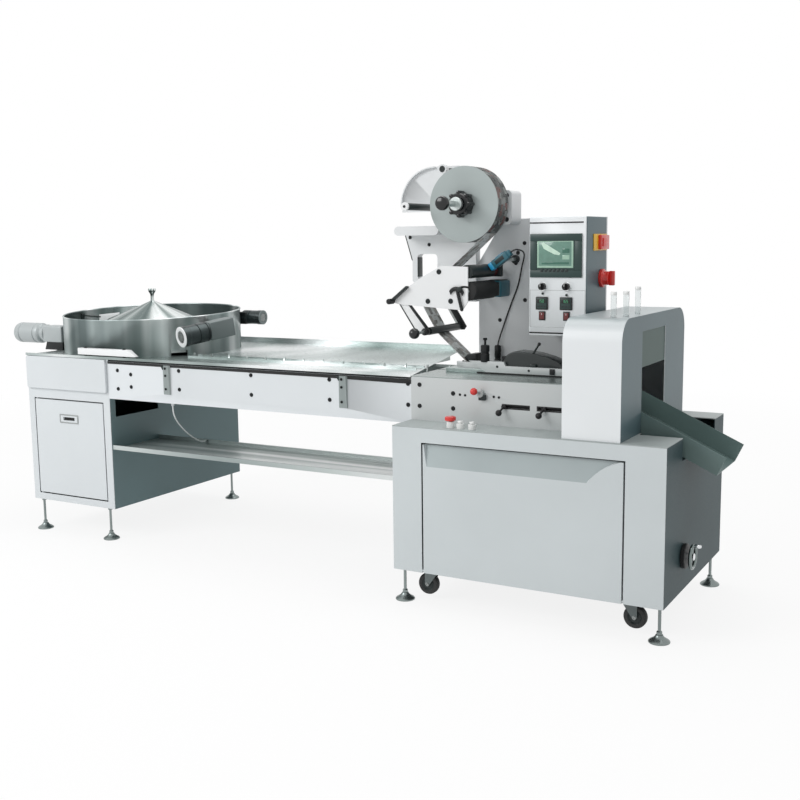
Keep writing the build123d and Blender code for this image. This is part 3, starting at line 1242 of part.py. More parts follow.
def operator_panel():
    """Screen bezel, controllers, lamps and rockers on the box, and the side plate."""
    front = BOX_FRONT - PANEL_PROUD
    half_w = SCREEN_WIDTH / 2
    half_h = SCREEN_HEIGHT / 2
    bezel = plate_xz(rounded_face(SCREEN_X - half_w, SCREEN_X + half_w, SCREEN_Z - half_h,
                                  SCREEN_Z + half_h, SCREEN_RADIUS), front, BOX_FRONT)
    glass_z = SCREEN_Z + SCREEN_GLASS_RISE
    bezel -= slab(SCREEN_X - SCREEN_GLASS_WIDTH / 2, SCREEN_X + SCREEN_GLASS_WIDTH / 2,
                  front - CUT, front + SCREEN_RECESS, glass_z - SCREEN_GLASS_HEIGHT / 2,
                  glass_z + SCREEN_GLASS_HEIGHT / 2)
    pieces = [bezel]
    for x in CONTROL_XS:
        half = CONTROLLER_SIZE / 2
        pieces.append(slab(x - half, x + half, front, BOX_FRONT,
                           CONTROLLER_Z - half, CONTROLLER_Z + half))
        pieces.append(rod_y(x, LAMP_Z, LAMP_RADIUS, front, BOX_FRONT))
        pieces.append(slab(x - ROCKER_WIDTH / 2, x + ROCKER_WIDTH / 2, front, BOX_FRONT,
                           ROCKER_Z - ROCKER_HEIGHT / 2, ROCKER_Z + ROCKER_HEIGHT / 2))
    side = slab(BOX_RIGHT, BOX_RIGHT + SIDE_PLATE_PROUD, SIDE_PLATE_FRONT, SIDE_PLATE_BACK,
                SIDE_PLATE_BOTTOM, SIDE_PLATE_TOP)
    middle = (SIDE_PLATE_FRONT + SIDE_PLATE_BACK) / 2
    level = (SIDE_PLATE_BOTTOM + SIDE_PLATE_TOP) / 2
    side += slab(BOX_RIGHT, BOX_RIGHT + SIDE_SWITCH_PROUD, middle - SIDE_SWITCH_WIDTH / 2,
                 middle + SIDE_SWITCH_WIDTH / 2, level - ROCKER_HEIGHT / 2,
                 level + ROCKER_HEIGHT / 2)
    return apart(*pieces, side)


def selector_knob(x):
    back = BOX_FRONT - SEAT_GAP
    front = back - SELECTOR_LENGTH
    knob = rod_y(x, SELECTOR_Z, SELECTOR_RADIUS, front, back)
    return knob + slab(x - SELECTOR_GRIP / 2, x + SELECTOR_GRIP / 2, front - SELECTOR_GRIP_LENGTH,
                       front, SELECTOR_Z - SELECTOR_RADIUS + THIN_SHEET,
                       SELECTOR_Z + SELECTOR_RADIUS - THIN_SHEET)


def main_switch():
    left = BOX_RIGHT + SEAT_GAP
    base_end = left + MAIN_SWITCH_BASE
    end = left + MAIN_SWITCH_LENGTH
    knob = rod_x(MAIN_SWITCH_Y, MAIN_SWITCH_Z, MAIN_SWITCH_RADIUS, left, base_end)
    knob += rod_x(MAIN_SWITCH_Y, MAIN_SWITCH_Z, MAIN_SWITCH_RADIUS - MAIN_SWITCH_BASE / 2,
                  base_end, end)
    grip = slab(end, end + MAIN_SWITCH_GRIP_LENGTH, MAIN_SWITCH_Y - MAIN_SWITCH_GRIP / 2,
                MAIN_SWITCH_Y + MAIN_SWITCH_GRIP / 2, MAIN_SWITCH_Z - MAIN_SWITCH_LENGTH,
                MAIN_SWITCH_Z + MAIN_SWITCH_LENGTH)
    grip = grip & rod_x(MAIN_SWITCH_Y, MAIN_SWITCH_Z, MAIN_SWITCH_RADIUS - MAIN_SWITCH_BASE / 2,
                        end, end + MAIN_SWITCH_GRIP_LENGTH)
    return knob + grip


def reel_bracket():
    """Bearing block of the reel shaft, and the quarter plate of the splice arm."""
    block = plate_xz(rounded_face(BRACKET_LEFT, BRACKET_RIGHT, BRACKET_BOTTOM, BRACKET_TOP,
                                  BRACKET_CORNER), BRACKET_FRONT, HEAD_Y)
    front = HEAD_Y - SPLICE_THICKNESS
    edge = [ThreePointArc((SPLICE_X - SPLICE_RADIUS, SPLICE_Z),
                          (SPLICE_X - SPLICE_RADIUS * math.sin(math.pi / 4),
                           SPLICE_Z + SPLICE_RADIUS * math.cos(math.pi / 4)),
                          (SPLICE_X, SPLICE_Z + SPLICE_RADIUS)),
            Polyline((SPLICE_X, SPLICE_Z + SPLICE_RADIUS),
                     (SPLICE_KNOB_X + SPLICE_KNOB_RADIUS, SPLICE_Z + SPLICE_RADIUS),
                     (BRACKET_LEFT, BRACKET_TOP - BRACKET_CORNER),
                     (BRACKET_LEFT, SPLICE_TAIL_Z),
                     (SPLICE_X - SPLICE_RADIUS, SPLICE_TAIL_Z),
                     (SPLICE_X - SPLICE_RADIUS, SPLICE_Z))]
    plate = plate_xz(make_face(edge), front, HEAD_Y)
    centre = Pos(SPLICE_X, SPLICE_Z)
    band = centre * Circle(SPLICE_RADIUS) - centre * Circle(SPLICE_RADIUS - SPLICE_FLANGE / 2)
    quarter = middle_face(SPLICE_X - SPLICE_RADIUS - CUT, SPLICE_X, SPLICE_Z,
                          SPLICE_Z + SPLICE_RADIUS + CUT)
    plate += plate_xz(band & quarter, front - SPLICE_FLANGE_DEPTH, front)
    plate += rod_y(SPLICE_KNOB_X, SPLICE_KNOB_Z, SPLICE_KNOB_STEM, SPLICE_KNOB_FRONT, front)
    plate += rod_y(SPLICE_KNOB_X, SPLICE_KNOB_Z, SPLICE_KNOB_RADIUS, SPLICE_KNOB_FRONT,
                   SPLICE_KNOB_FRONT + SPLICE_KNOB_LENGTH)
    plate += rod_y(SPLICE_ROLLER_X, SPLICE_ROLLER_Z, SPLICE_ROLLER_RADIUS, SPLICE_ROLLER_FRONT,
                   front)
    bore = rod_y(REEL_X, REEL_Z, SHAFT_RADIUS + RUNNING_GAP, BRACKET_FRONT - CUT, HEAD_Y + CUT)
    return block - bore + plate


def reel_shaft():
    """Cantilevered shaft with ribbed chuck, back collar and round locking knob."""
    shaft = rod_y(REEL_X, REEL_Z, SHAFT_RADIUS, SHAFT_FRONT, SHAFT_BACK)
    knob = rod_y(REEL_X, REEL_Z, SHAFT_KNOB_RADIUS, SHAFT_FRONT, SHAFT_FRONT + SHAFT_KNOB_LENGTH)
    shaft += fillet(knob.edges().filter_by(GeomType.CIRCLE), SHAFT_KNOB_ROUND)
    chuck = rod_y(REEL_X, REEL_Z, CHUCK_RADIUS - CHUCK_RIB_RADIUS, CHUCK_FRONT, REEL_FRONT)
    for index in range(CHUCK_RIB_COUNT):
        angle = math.radians(index * FULL_TURN / CHUCK_RIB_COUNT)
        reach = CHUCK_RADIUS - CHUCK_RIB_RADIUS
        chuck += rod_y(REEL_X + reach * math.cos(angle), REEL_Z + reach * math.sin(angle),
                       CHUCK_RIB_RADIUS, CHUCK_FRONT, REEL_FRONT)
    shaft += chuck
    shaft += rod_y(REEL_X, REEL_Z, REEL_CORE_RADIUS - REEL_CORE_WALL, REEL_FRONT, REEL_BACK)
    return shaft + rod_y(REEL_X, REEL_Z, CHUCK_RADIUS - CHUCK_RIB_RADIUS, REEL_BACK,
                         REEL_BACK + CHUCK_BACK_WIDTH)


def film_roll():
    """Roll of film wound on a core tube."""
    roll = rod_y(REEL_X, REEL_Z, REEL_RADIUS, REEL_FRONT, REEL_BACK)
    return roll - rod_y(REEL_X, REEL_Z, REEL_CORE_RADIUS - REEL_CORE_WALL, REEL_FRONT - CUT,
                        REEL_BACK + CUT)


def film_back_frame():
    """Thick white frame with a window, left of the head plate, and its rounded rest."""
    back = HEAD_BACK
    front = back - FRAME_DEPTH
    face = outline([(HEAD_LEFT, FRAME_TOP), (FRAME_LEFT, FRAME_TOP),
                    (FRAME_WAIST_X, FRAME_WAIST_Z), (FRAME_WAIST_X, FRAME_HIP_Z),
                    (FRAME_HEEL_X, FRAME_BOTTOM), (HEAD_LEFT, FRAME_BOTTOM)])
    window = rounded_face(WINDOW_LEFT, WINDOW_RIGHT, WINDOW_BOTTOM, WINDOW_TOP, WINDOW_RADIUS)
    frame = plate_xz(face - window, front, back)
    half = REST_HEIGHT / 2
    rest = Pos(REST_RIGHT - REST_LENGTH / 2, REST_Z) * SlotOverall(REST_LENGTH, REST_HEIGHT)
    frame += plate_xz(rest, REST_FRONT, front)
    heel = slab(REST_RIGHT - REST_LENGTH, REST_RIGHT - half, front, back, FRAME_TOP, REST_Z)
    return frame + heel


def film_front_plate():
    """Front cheek of the film feed with its tie rods to the back frame and head plate."""
    back = FRONT_PLATE_Y + FRONT_PLATE
    plate = plate_xz(outline(FRONT_PLATE_OUTLINE), FRONT_PLATE_Y, back)
    frame_front = HEAD_BACK - FRAME_DEPTH
    for x, z in zip(TIE_ROD_XS, TIE_ROD_ZS):
        far = frame_front if x < HEAD_LEFT else HEAD_Y
        plate += rod_y(x, z, TIE_ROD_RADIUS, back, far)
    ring = Circle(ARC_SLOT_RADIUS + ARC_SLOT_WIDTH / 2) - Circle(ARC_SLOT_RADIUS - ARC_SLOT_WIDTH / 2)
    reach = 2 * ARC_SLOT_RADIUS
    start = math.radians(ARC_SLOT_START)
    end = math.radians(ARC_SLOT_START + ARC_SLOT_SWEEP)
    wedge = outline([(0, 0), (reach * math.cos(start), reach * math.sin(start)),
                     (reach * math.cos(end), reach * math.sin(end))])
    slot = Pos(ARC_SLOT_X, ARC_SLOT_Z) * (ring & wedge)
    return plate - plate_xz(slot, FRONT_PLATE_Y - CUT, back + CUT)


def film_drive():
    """Nip rollers on their axles, the gear motor behind them and the print sensor."""
    low = FRONT_PLATE_Y + FRONT_PLATE
    front = low + ROLLER_END_GAP
    drive = rod_y(NIP_X, NIP_Z, NIP_RADIUS, front, NIP_LENGTH_BACK)
    drive += rod_y(NIP_X, NIP_Z, ROLLER_AXLE_RADIUS, low, HEAD_Y)
    press_x = NIP_X + PRESS_SHIFT
    press_z = NIP_Z + PRESS_RISE
    press = rod_y(press_x, press_z, PRESS_RADIUS, front, NIP_LENGTH_BACK)
    press += rod_y(press_x, press_z, ROLLER_AXLE_RADIUS, low, HEAD_Y)
    half = GEARMOTOR_SIZE / 2
    motor = slab(NIP_X + GEARMOTOR_SHIFT - half, NIP_X + GEARMOTOR_SHIFT + half,
                 NIP_LENGTH_BACK + ROLLER_END_GAP, HEAD_Y, NIP_Z - half, NIP_Z + half)
    motor = fillet(motor.edges().filter_by(Axis.Y), GEARMOTOR_EDGE)
    return apart(drive + motor, press, film_sensor())


def sensor_axis():
    tilt = math.radians(SENSOR_TILT)
    return Vector(math.cos(tilt), 0, math.sin(tilt))


def film_sensor():
    """Tilted print sensor with its lens nose, on a rod from the head plate."""
    place = Pos(SENSOR_X, SENSOR_Y, SENSOR_Z) * Rot(0, -SENSOR_TILT, 0)
    body = place * Box(SENSOR_LENGTH, SENSOR_DEPTH, SENSOR_HEIGHT)
    nose = place * Pos(-(SENSOR_LENGTH + SENSOR_NOSE) / 2, 0, 0)
    body += nose * Rot(0, RIGHT_ANGLE, 0) * Cylinder(SENSOR_HEIGHT / 3, SENSOR_NOSE)
    return body + rod_y(SENSOR_X, SENSOR_Z, SENSOR_ROD_RADIUS, SENSOR_Y, HEAD_Y)


def sensor_back():
    """Middle of the sensor's back end, where its cable starts."""
    return Vector(SENSOR_X, SENSOR_Y, SENSOR_Z) + sensor_axis() * (SENSOR_LENGTH / 2)


def cable_route():
    start = sensor_back()
    second = start + sensor_axis() * CABLE_LEAD
    top = TABLE_TOP + CABLE_SOCKET_HEIGHT
    last = [(CABLE_SOCKET_X, CABLE_SOCKET_Y, top + CABLE_LEAD), (CABLE_SOCKET_X, CABLE_SOCKET_Y, top)]
    return [tuple(start), tuple(second)] + CABLE_MIDDLE + last


def sensor_cable():
    return soft_tube(cable_route(), CABLE_RADIUS, "sensor_cable")


def cable_socket():
    return rod_z(CABLE_SOCKET_X, CABLE_SOCKET_Y, CABLE_SOCKET_RADIUS, TABLE_TOP,
                 TABLE_TOP + CABLE_SOCKET_HEIGHT)


def tray_hose():
    return soft_tube(HOSE_ROUTE, HOSE_RADIUS, "tray_hose")


def bar_between(x0, z0, x1, z1, width, y0, y1):
    """Flat link with round ends between two pivots in X and Z."""
    half = width / 2
    length = math.hypot(x1 - x0, z1 - z0)
    across = (half * (z1 - z0) / length, -half * (x1 - x0) / length)
    face = outline([(x0 + across[0], z0 + across[1]), (x1 + across[0], z1 + across[1]),
                    (x1 - across[0], z1 - across[1]), (x0 - across[0], z0 - across[1])])
    face += Pos(x0, z0) * Circle(half)
    face += Pos(x1, z1) * Circle(half)
    return plate_xz(face, y0, y1)


def swing_arms():
    """Two links with the upper turning rod, the idler's axle and its ball knob."""
    front0 = FRONT_PLATE_Y + FRONT_PLATE
    front1 = front0 + SWING_ARM_THICKNESS
    back1 = HEAD_BACK - FRAME_DEPTH
    back0 = back1 - SWING_ARM_THICKNESS
    arms = bar_between(SWING_TOP_X, SWING_TOP_Z, IDLER_X, IDLER_Z, SWING_ARM_WIDTH, front0, front1)
    arms += bar_between(SWING_TOP_X, SWING_TOP_Z, IDLER_X, IDLER_Z, SWING_ARM_WIDTH, back0, back1)
    arms += rod_y(SWING_TOP_X, SWING_TOP_Z, TURN_ROD_RADIUS, front1, back0)
    arms += rod_y(IDLER_X, IDLER_Z, IDLER_AXLE_RADIUS, IDLER_KNOB_Y, back1)
    arms += rod_y(IDLER_X, IDLER_Z, IDLER_COLLAR_RADIUS, front0 - IDLER_COLLAR_LENGTH, front0)
    return arms + Pos(IDLER_X, IDLER_KNOB_Y, IDLER_Z) * Sphere(IDLER_KNOB_RADIUS)


def idler_roller():
    """Free roller on the axle between the two links."""
    front = FRONT_PLATE_Y + FRONT_PLATE + SWING_ARM_THICKNESS + IDLER_GAP
    back = HEAD_BACK - FRAME_DEPTH - SWING_ARM_THICKNESS - IDLER_GAP
    roller = rod_y(IDLER_X, IDLER_Z, IDLER_RADIUS, front, back)
    return roller - rod_y(IDLER_X, IDLER_Z, IDLER_AXLE_RADIUS + RUNNING_GAP, front - CUT, back + CUT)


def round_points(x, z, radius, start, end):
    """Points of a ribbon laid round a roller, between two angles in degrees."""
    steps = max(1, math.ceil(abs(end - start) / WRAP_STEP))
    share = 1 / math.cos(math.radians(abs(end - start) / steps / 2))
    points = [(x + radius * math.cos(math.radians(start)), z + radius * math.sin(math.radians(start)))]
    for index in range(steps):
        angle = math.radians(start + (end - start) * (index + 1 / 2) / steps)
        points.append((x + radius * share * math.cos(angle), z + radius * share * math.sin(angle)))
    points.append((x + radius * math.cos(math.radians(end)), z + radius * math.sin(math.radians(end))))
    return points


def heading(first, second, crossing):
    """Direction in degrees of the belt line from one roller to the next."""
    dx = second[0] - first[0]
    dz = second[1] - first[1]
    centre = math.degrees(math.atan2(dz, dx))
    spread = first[2] + second[2] if crossing else second[2] - first[2]
    return centre - math.degrees(math.asin(spread / math.hypot(dx, dz)))


def film_line():
    """Centre line of the film from the roll, round both rods, down to the former."""
    gap = FILM_GAP + FILM_THICKNESS / 2
    roll = (REEL_X, REEL_Z, REEL_RADIUS + gap)
    turn = (SWING_TOP_X, SWING_TOP_Z, TURN_ROD_RADIUS + FILM_THICKNESS / 2)
    idler = (IDLER_X, IDLER_Z, IDLER_RADIUS + gap)
    first = heading(roll, turn, True)
    second = heading(turn, idler, False)
    end = (FILM_END_X, FILM_END_Z, 0)
    third = heading(idler, end, False)
    start = math.radians(first + RIGHT_ANGLE)
    points = [(REEL_X + roll[2] * math.cos(start), REEL_Z + roll[2] * math.sin(start))]
    points += round_points(*turn, first - RIGHT_ANGLE, second - RIGHT_ANGLE)
    points += round_points(*idler, second - RIGHT_ANGLE, third - RIGHT_ANGLE)
    return points + [(FILM_END_X, FILM_END_Z)]


def ribbon(points, thickness):
    """Mitred outline of constant thickness along a line of points."""
    near, far = [], []
    for index, (x, z) in enumerate(points):
        before = points[index - 1] if index else None
        after = points[index + 1] if index + 1 < len(points) else None
        units = []
        for a, b in ((before, (x, z)), ((x, z), after)):
            if a and b:
                run = math.hypot(b[0] - a[0], b[1] - a[1])
                units.append(((b[0] - a[0]) / run, (b[1] - a[1]) / run))
        ux = sum(u[0] for u in units) / len(units)
        uz = sum(u[1] for u in units) / len(units)
        grow = thickness / 2 / (ux * ux + uz * uz)
        near.append((x - uz * grow, z + ux * grow))
        far.append((x + uz * grow, z - ux * grow))
    return outline(near + far[::-1])


def film_web():
    return plate_xz(ribbon(film_line(), FILM_THICKNESS), REEL_FRONT + FILM_MARGIN,
                    REEL_BACK - FILM_MARGIN)


def adjuster(x, y, base, height, rod_height):
    post = rod_z(x, y, ADJUSTER_RADIUS, base, base + height)
    post += rod_z(x, y, ADJUSTER_ROD_RADIUS, base + height, base + height + rod_height)
    return post + rod_z(x, y, ADJUSTER_KNOB_RADIUS, base + height + rod_height,
                        base + height + rod_height + ADJUSTER_KNOB_HEIGHT)


def film_former():
    """Track bars, forming tube with its sloping shoulder, and the seal wheels' cover."""
    top = TABLE_TOP + TRACK_HEIGHT
    front0 = PRODUCT_LINE_Y - TRACK_HALF - TRACK_BAR
    back1 = PRODUCT_LINE_Y + TRACK_HALF + TRACK_BAR
    front_bar = slab(TRACK_LEFT, TABLE_RIGHT, front0, front0 + TRACK_BAR, TABLE_TOP, top)
    back_bar = slab(TRACK_LEFT, TABLE_RIGHT, back1 - TRACK_BAR, back1, TABLE_TOP, top)
    low = PRODUCT_LINE_Y - FORMER_HALF
    high = PRODUCT_LINE_Y + FORMER_HALF
    tube = slab(FORMER_LEFT, FORMER_RIGHT, low, high, TABLE_TOP, FORMER_TOP)
    tube -= slab(FORMER_LEFT - CUT, FORMER_RIGHT + CUT, low + THIN_SHEET, high - THIN_SHEET,
                 TABLE_TOP - CUT, FORMER_TOP - THIN_SHEET)
    rise = FORMER_TOP + FORMER_SHOULDER_RISE
    shoulder = outline([(FORMER_SHOULDER_X, rise), (FORMER_SHOULDER_X, rise - THIN_SHEET * 2),
                        (FORMER_LEFT + CUT, FORMER_TOP - THIN_SHEET), (FORMER_LEFT + CUT, FORMER_TOP)])
    tube += plate_xz(shoulder, low, high)
    front_bar += adjuster(ADJUSTER_XS[0], front0 + TRACK_BAR / 2, top, ADJUSTER_HEIGHTS[0],
                          ADJUSTER_ROD_HEIGHTS[0])
    half = TRACK_HALF - THIN_SHEET
    cover = rod_y(SEAL_COVER_X, top, SEAL_COVER_RADIUS, PRODUCT_LINE_Y - TRACK_HALF,
                  PRODUCT_LINE_Y + TRACK_HALF)
    cover -= rod_y(SEAL_COVER_X, top, SEAL_COVER_RADIUS - THIN_SHEET, PRODUCT_LINE_Y - half,
                   PRODUCT_LINE_Y + half)
    reach = 2 * SEAL_COVER_RADIUS
    lower = top - COVER_SKIRT
    cover -= slab(SEAL_COVER_X - reach, SEAL_COVER_X + reach, front0, back1, lower - reach, lower)
    beam_left = SEAL_COVER_X + SEAL_COVER_RADIUS + CUT
    beam = slab(beam_left, beam_left + 2 * TRACK_BAR, front0, back1, top, top + TRACK_BAR)
    stem_x = beam_left + TRACK_BAR
    stem_top = top + TRACK_BAR + PRESS_BAR_LENGTH
    beam += rod_z(stem_x, PRODUCT_LINE_Y, PRESS_BAR_RADIUS, top + TRACK_BAR, stem_top)
    beam += Pos(stem_x, PRODUCT_LINE_Y, stem_top) * Sphere(PRESS_BAR_KNOB_RADIUS)
    return apart(front_bar, back_bar, cover, beam, tube, cable_socket())


def hood_section(inset):
    """Outline of the hood in Y and Z, with its two rounded upper corners."""
    front, back, top = HOOD_FRONT + inset, HOOD_BACK - inset, HOOD_TOP - inset
    radius = HOOD_RADIUS - inset
    face = middle_face(front, back, BODY_TOP, top - radius)
    face += middle_face(front + radius, back - radius, BODY_TOP, top)
    face += Pos(front + radius, top - radius) * Circle(radius)
    return face + Pos(back - radius, top - radius) * Circle(radius)


def guard_hood():
    """Hollow cover of the end sealer with an inlet on the left and an exit on the right."""
    shell = plate_yz(hood_section(0), HOOD_LEFT, HOOD_RIGHT)
    shell -= plate_yz(hood_section(SHEET), HOOD_LEFT + SHEET, HOOD_RIGHT - SHEET)
    shell -= slab(HOOD_LEFT, HOOD_RIGHT, HOOD_FRONT - CUT, HOOD_BACK + CUT, BODY_TOP - CUT, BODY_TOP)
    shell -= slab(HOOD_RIGHT - SHEET - CUT, HOOD_RIGHT + CUT, EXIT_FRONT, EXIT_BACK,
                  BODY_TOP - CUT, EXIT_TOP)
    return shell - slab(HOOD_LEFT - CUT, HOOD_LEFT + SHEET + CUT, PRODUCT_LINE_Y - INLET_HALF,
                        PRODUCT_LINE_Y + INLET_HALF, TABLE_TOP, INLET_TOP)


def hood_curtain():
    """Hanging safety panel inside the exit."""
    right = HOOD_RIGHT - SHEET
    return slab(right - CURTAIN_THICKNESS, right, EXIT_FRONT - CURTAIN_OVERLAP,
                EXIT_BACK + CURTAIN_OVERLAP, CURTAIN_BOTTOM, EXIT_TOP + CURTAIN_OVERLAP)


def hood_posts():
    """Three clear acrylic uprights in sockets on the hood."""
    posts = []
    for x, y, height in zip(POST_XS, POST_YS, POST_HEIGHTS):
        half = POST_SOCKET / 2
        post = slab(x - half, x + half, y - half, y + half, HOOD_TOP, HOOD_TOP + POST_SOCKET_HEIGHT)
        post += slab(x - POST_WIDTH / 2, x + POST_WIDTH / 2, y - POST_THICKNESS / 2,
                     y + POST_THICKNESS / 2, HOOD_TOP + POST_SOCKET_HEIGHT / 2, HOOD_TOP + height)
        posts.append(post)
    return apart(*posts)


def exit_chute():
    """Folded trough down which the wrapped products leave, on a rest inside the hood."""
    tilt = math.radians(CHUTE_SLOPE)
    length = (CHUTE_END_X - CHUTE_START_X) / math.cos(tilt)
    low = EXIT_FRONT + CHUTE_SIDE_GAP
    high = EXIT_BACK - CHUTE_SIDE_GAP
    trough = slab(-length, 0, low, high, -THIN_SHEET, CHUTE_WALL)
    trough -= slab(-length - CUT, CUT, low + THIN_SHEET, high - THIN_SHEET, 0, CHUTE_WALL + CUT)
    trough = Pos(CHUTE_END_X, 0, CHUTE_END_Z) * Rot(0, CHUTE_SLOPE, 0) * trough
    rest_left = HOOD_LEFT + CHUTE_REST_INSET
    rest_right = rest_left + CHUTE_REST_WIDTH
    rest = plate_xz(outline([(rest_left, BODY_TOP), (rest_right, BODY_TOP),
                             (rest_right, chute_underside_z(rest_right)),
                             (rest_left, chute_underside_z(rest_left))]),
                    low, high)
    return trough + rest


def handwheel():
    """Spoked handwheel on its shaft, in front of a dial disc."""
    rise = HANDWHEEL_STANDOFF - HANDWHEEL_DIAL_GAP
    low = -HANDWHEEL_DIAL_GAP - HANDWHEEL_SHAFT_INSIDE
    middle = turned([(0, low), (HANDWHEEL_SHAFT_RADIUS, low), (HANDWHEEL_SHAFT_RADIUS, 0),
                     (HANDWHEEL_DIAL_RADIUS, 0), (HANDWHEEL_DIAL_RADIUS, HANDWHEEL_DIAL_THICKNESS),
                     (HANDWHEEL_HUB_RADIUS, HANDWHEEL_DIAL_THICKNESS),
                     (HANDWHEEL_HUB_RADIUS, rise + HANDWHEEL_RIM_RADIUS),
                     (0, rise + HANDWHEEL_RIM_RADIUS)])
    turns = [math.radians(index * FULL_TURN / RIM_FACETS) for index in range(RIM_FACETS)]
    rim = turned([(HANDWHEEL_RADIUS + HANDWHEEL_RIM_RADIUS * math.cos(turn),
                   rise + HANDWHEEL_RIM_RADIUS * math.sin(turn)) for turn in turns])
    wheel = middle
    for index in range(SPOKE_COUNT):
        spoke = Pos(0, HANDWHEEL_RADIUS / 2, rise) * Rot(RIGHT_ANGLE, 0, 0)
        spoke = spoke * Cylinder(HANDWHEEL_SPOKE_RADIUS, HANDWHEEL_RADIUS)
        wheel += Rot(0, 0, index * FULL_TURN / SPOKE_COUNT) * spoke
    wheel += rim
    grip_top = rise + HANDWHEEL_RIM_RADIUS + HANDWHEEL_GRIP_LENGTH
    wheel += rod_z(0, HANDWHEEL_RADIUS, HANDWHEEL_GRIP_RADIUS, rise, grip_top)
    place = Pos(BODY_WIDTH + HANDWHEEL_DIAL_GAP, HANDWHEEL_Y, HANDWHEEL_Z)
    return place * Rot(0, RIGHT_ANGLE, 0) * wheel


PIECES = {
    "base_front_frame": base_front_frame(),
    "base_left_wall": base_left_wall(),
    "base_right_wall": base_right_wall(),
    "base_back_wall": base_back_wall(),
    "base_top": base_top(),
    "base_floor": base_floor(),
    "base_flap": base_flap(),
    "levelling_feet": levelling_feet(),
    "caster_fork_left": caster_fork(CASTER_LEFT_X, CASTER_FRONT_Y, -CASTER_TRAIL),
    "caster_fork_right": caster_fork(CASTER_RIGHT_X, CASTER_FRONT_Y, CASTER_TRAIL),
    "caster_wheel_left": caster_wheel(CASTER_LEFT_X, CASTER_FRONT_Y, -CASTER_TRAIL),
    "caster_wheel_right": caster_wheel(CASTER_RIGHT_X, CASTER_FRONT_Y, CASTER_TRAIL),
    "rear_casters": rear_casters(),
    "feeder_left_wall": feeder_left_wall(),
    "feeder_right_wall": feeder_right_wall(),
    "feeder_back_wall": feeder_back_wall(),
    "feeder_floor": feeder_floor(),
    "feeder_front_frame": feeder_front_frame(),
    "feeder_cover_panel": feeder_cover_panel(),
    "feeder_door": feeder_door(),
    "front_rail": front_rail(),
    "back_rail": back_rail(),
    "deck_pan": deck_pan(),
    "pusher_chain": pusher_chain(),
    "lower_tray": lower_tray(),
    "tray_hose": tray_hose(),
    "disc_drum": disc_drum(),
    "feed_disc": feed_disc(),
    "feed_cone": feed_cone(),
    "drum_guides": drum_guides(),
    "brush_motors": brush_motors(),
    "infeed_panel": infeed_panel(),
    "table_top": table_top(),
    "slot_lever_left": slot_lever(LEVER_XS[0]),
    "slot_lever_right": slot_lever(LEVER_XS[1]),
    "mushroom_button": push_button(0),
    "start_button": push_button(1),
    "stop_button": push_button(2),
    "head_plate": head_plate(),
    "control_box": control_box(),
    "operator_panel": operator_panel(),
    "selector_left": selector_knob(CONTROL_XS[0]),
    "selector_right": selector_knob(CONTROL_XS[1]),
    "main_switch": main_switch(),
    "reel_bracket": reel_bracket(),
    "reel_shaft": reel_shaft(),
    "film_roll": film_roll(),
    "film_back_frame": film_back_frame(),
    "film_front_plate": film_front_plate(),
    "film_drive": film_drive(),
    "sensor_cable": sensor_cable(),
    "swing_arms": swing_arms(),
    "idler_roller": idler_roller(),
    "film_web": film_web(),
    "film_former": film_former(),
    "guard_hood": guard_hood(),
    "hood_curtain": hood_curtain(),
    "hood_posts": hood_posts(),
    "exit_chute": exit_chute(),
    "handwheel": handwheel(),
}

# The frame's origin is the bottom centre of the whole machine's bounding box
low = [min(getattr(piece.bounding_box().min, axis) for piece in PIECES.values()) for axis in "XYZ"]
high = [max(getattr(piece.bounding_box().max, axis) for piece in PIECES.values()) for axis in "XYZ"]
shift = (-(low[0] + high[0]) / 2, -(low[1] + high[1]) / 2, -low[2])
print("shift", [round(value, 4) for value in shift])
print("size", [round(high[i] - low[i], 3) for i in range(3)], "pieces", len(PIECES))
os.makedirs("parts", exist_ok=True)
for name, piece in PIECES.items():
    export_step(Pos(*shift) * piece, f"parts/{name}.step")
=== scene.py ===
import json
import math

import bmesh
import bpy
from mathutils import Matrix, Vector

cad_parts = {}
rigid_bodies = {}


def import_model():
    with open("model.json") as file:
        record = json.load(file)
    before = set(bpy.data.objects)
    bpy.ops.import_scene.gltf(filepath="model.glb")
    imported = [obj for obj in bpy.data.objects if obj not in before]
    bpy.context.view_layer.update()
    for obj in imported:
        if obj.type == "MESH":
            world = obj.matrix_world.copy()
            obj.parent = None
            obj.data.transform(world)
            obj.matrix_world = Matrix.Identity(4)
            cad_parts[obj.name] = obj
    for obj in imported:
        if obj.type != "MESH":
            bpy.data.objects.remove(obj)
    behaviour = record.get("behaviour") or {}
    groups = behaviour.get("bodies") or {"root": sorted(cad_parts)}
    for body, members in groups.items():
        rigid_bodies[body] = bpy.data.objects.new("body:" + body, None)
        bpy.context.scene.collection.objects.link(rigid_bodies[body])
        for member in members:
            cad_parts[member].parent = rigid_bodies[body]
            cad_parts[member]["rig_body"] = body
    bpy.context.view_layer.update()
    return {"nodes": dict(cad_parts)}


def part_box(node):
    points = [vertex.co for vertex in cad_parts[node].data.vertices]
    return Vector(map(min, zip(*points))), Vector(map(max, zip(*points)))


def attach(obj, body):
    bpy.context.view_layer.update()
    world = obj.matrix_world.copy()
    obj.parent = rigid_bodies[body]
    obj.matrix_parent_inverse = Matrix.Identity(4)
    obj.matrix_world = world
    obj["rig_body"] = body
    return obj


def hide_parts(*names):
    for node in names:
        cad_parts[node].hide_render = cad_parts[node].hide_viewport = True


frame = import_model()
NODES = frame["nodes"]

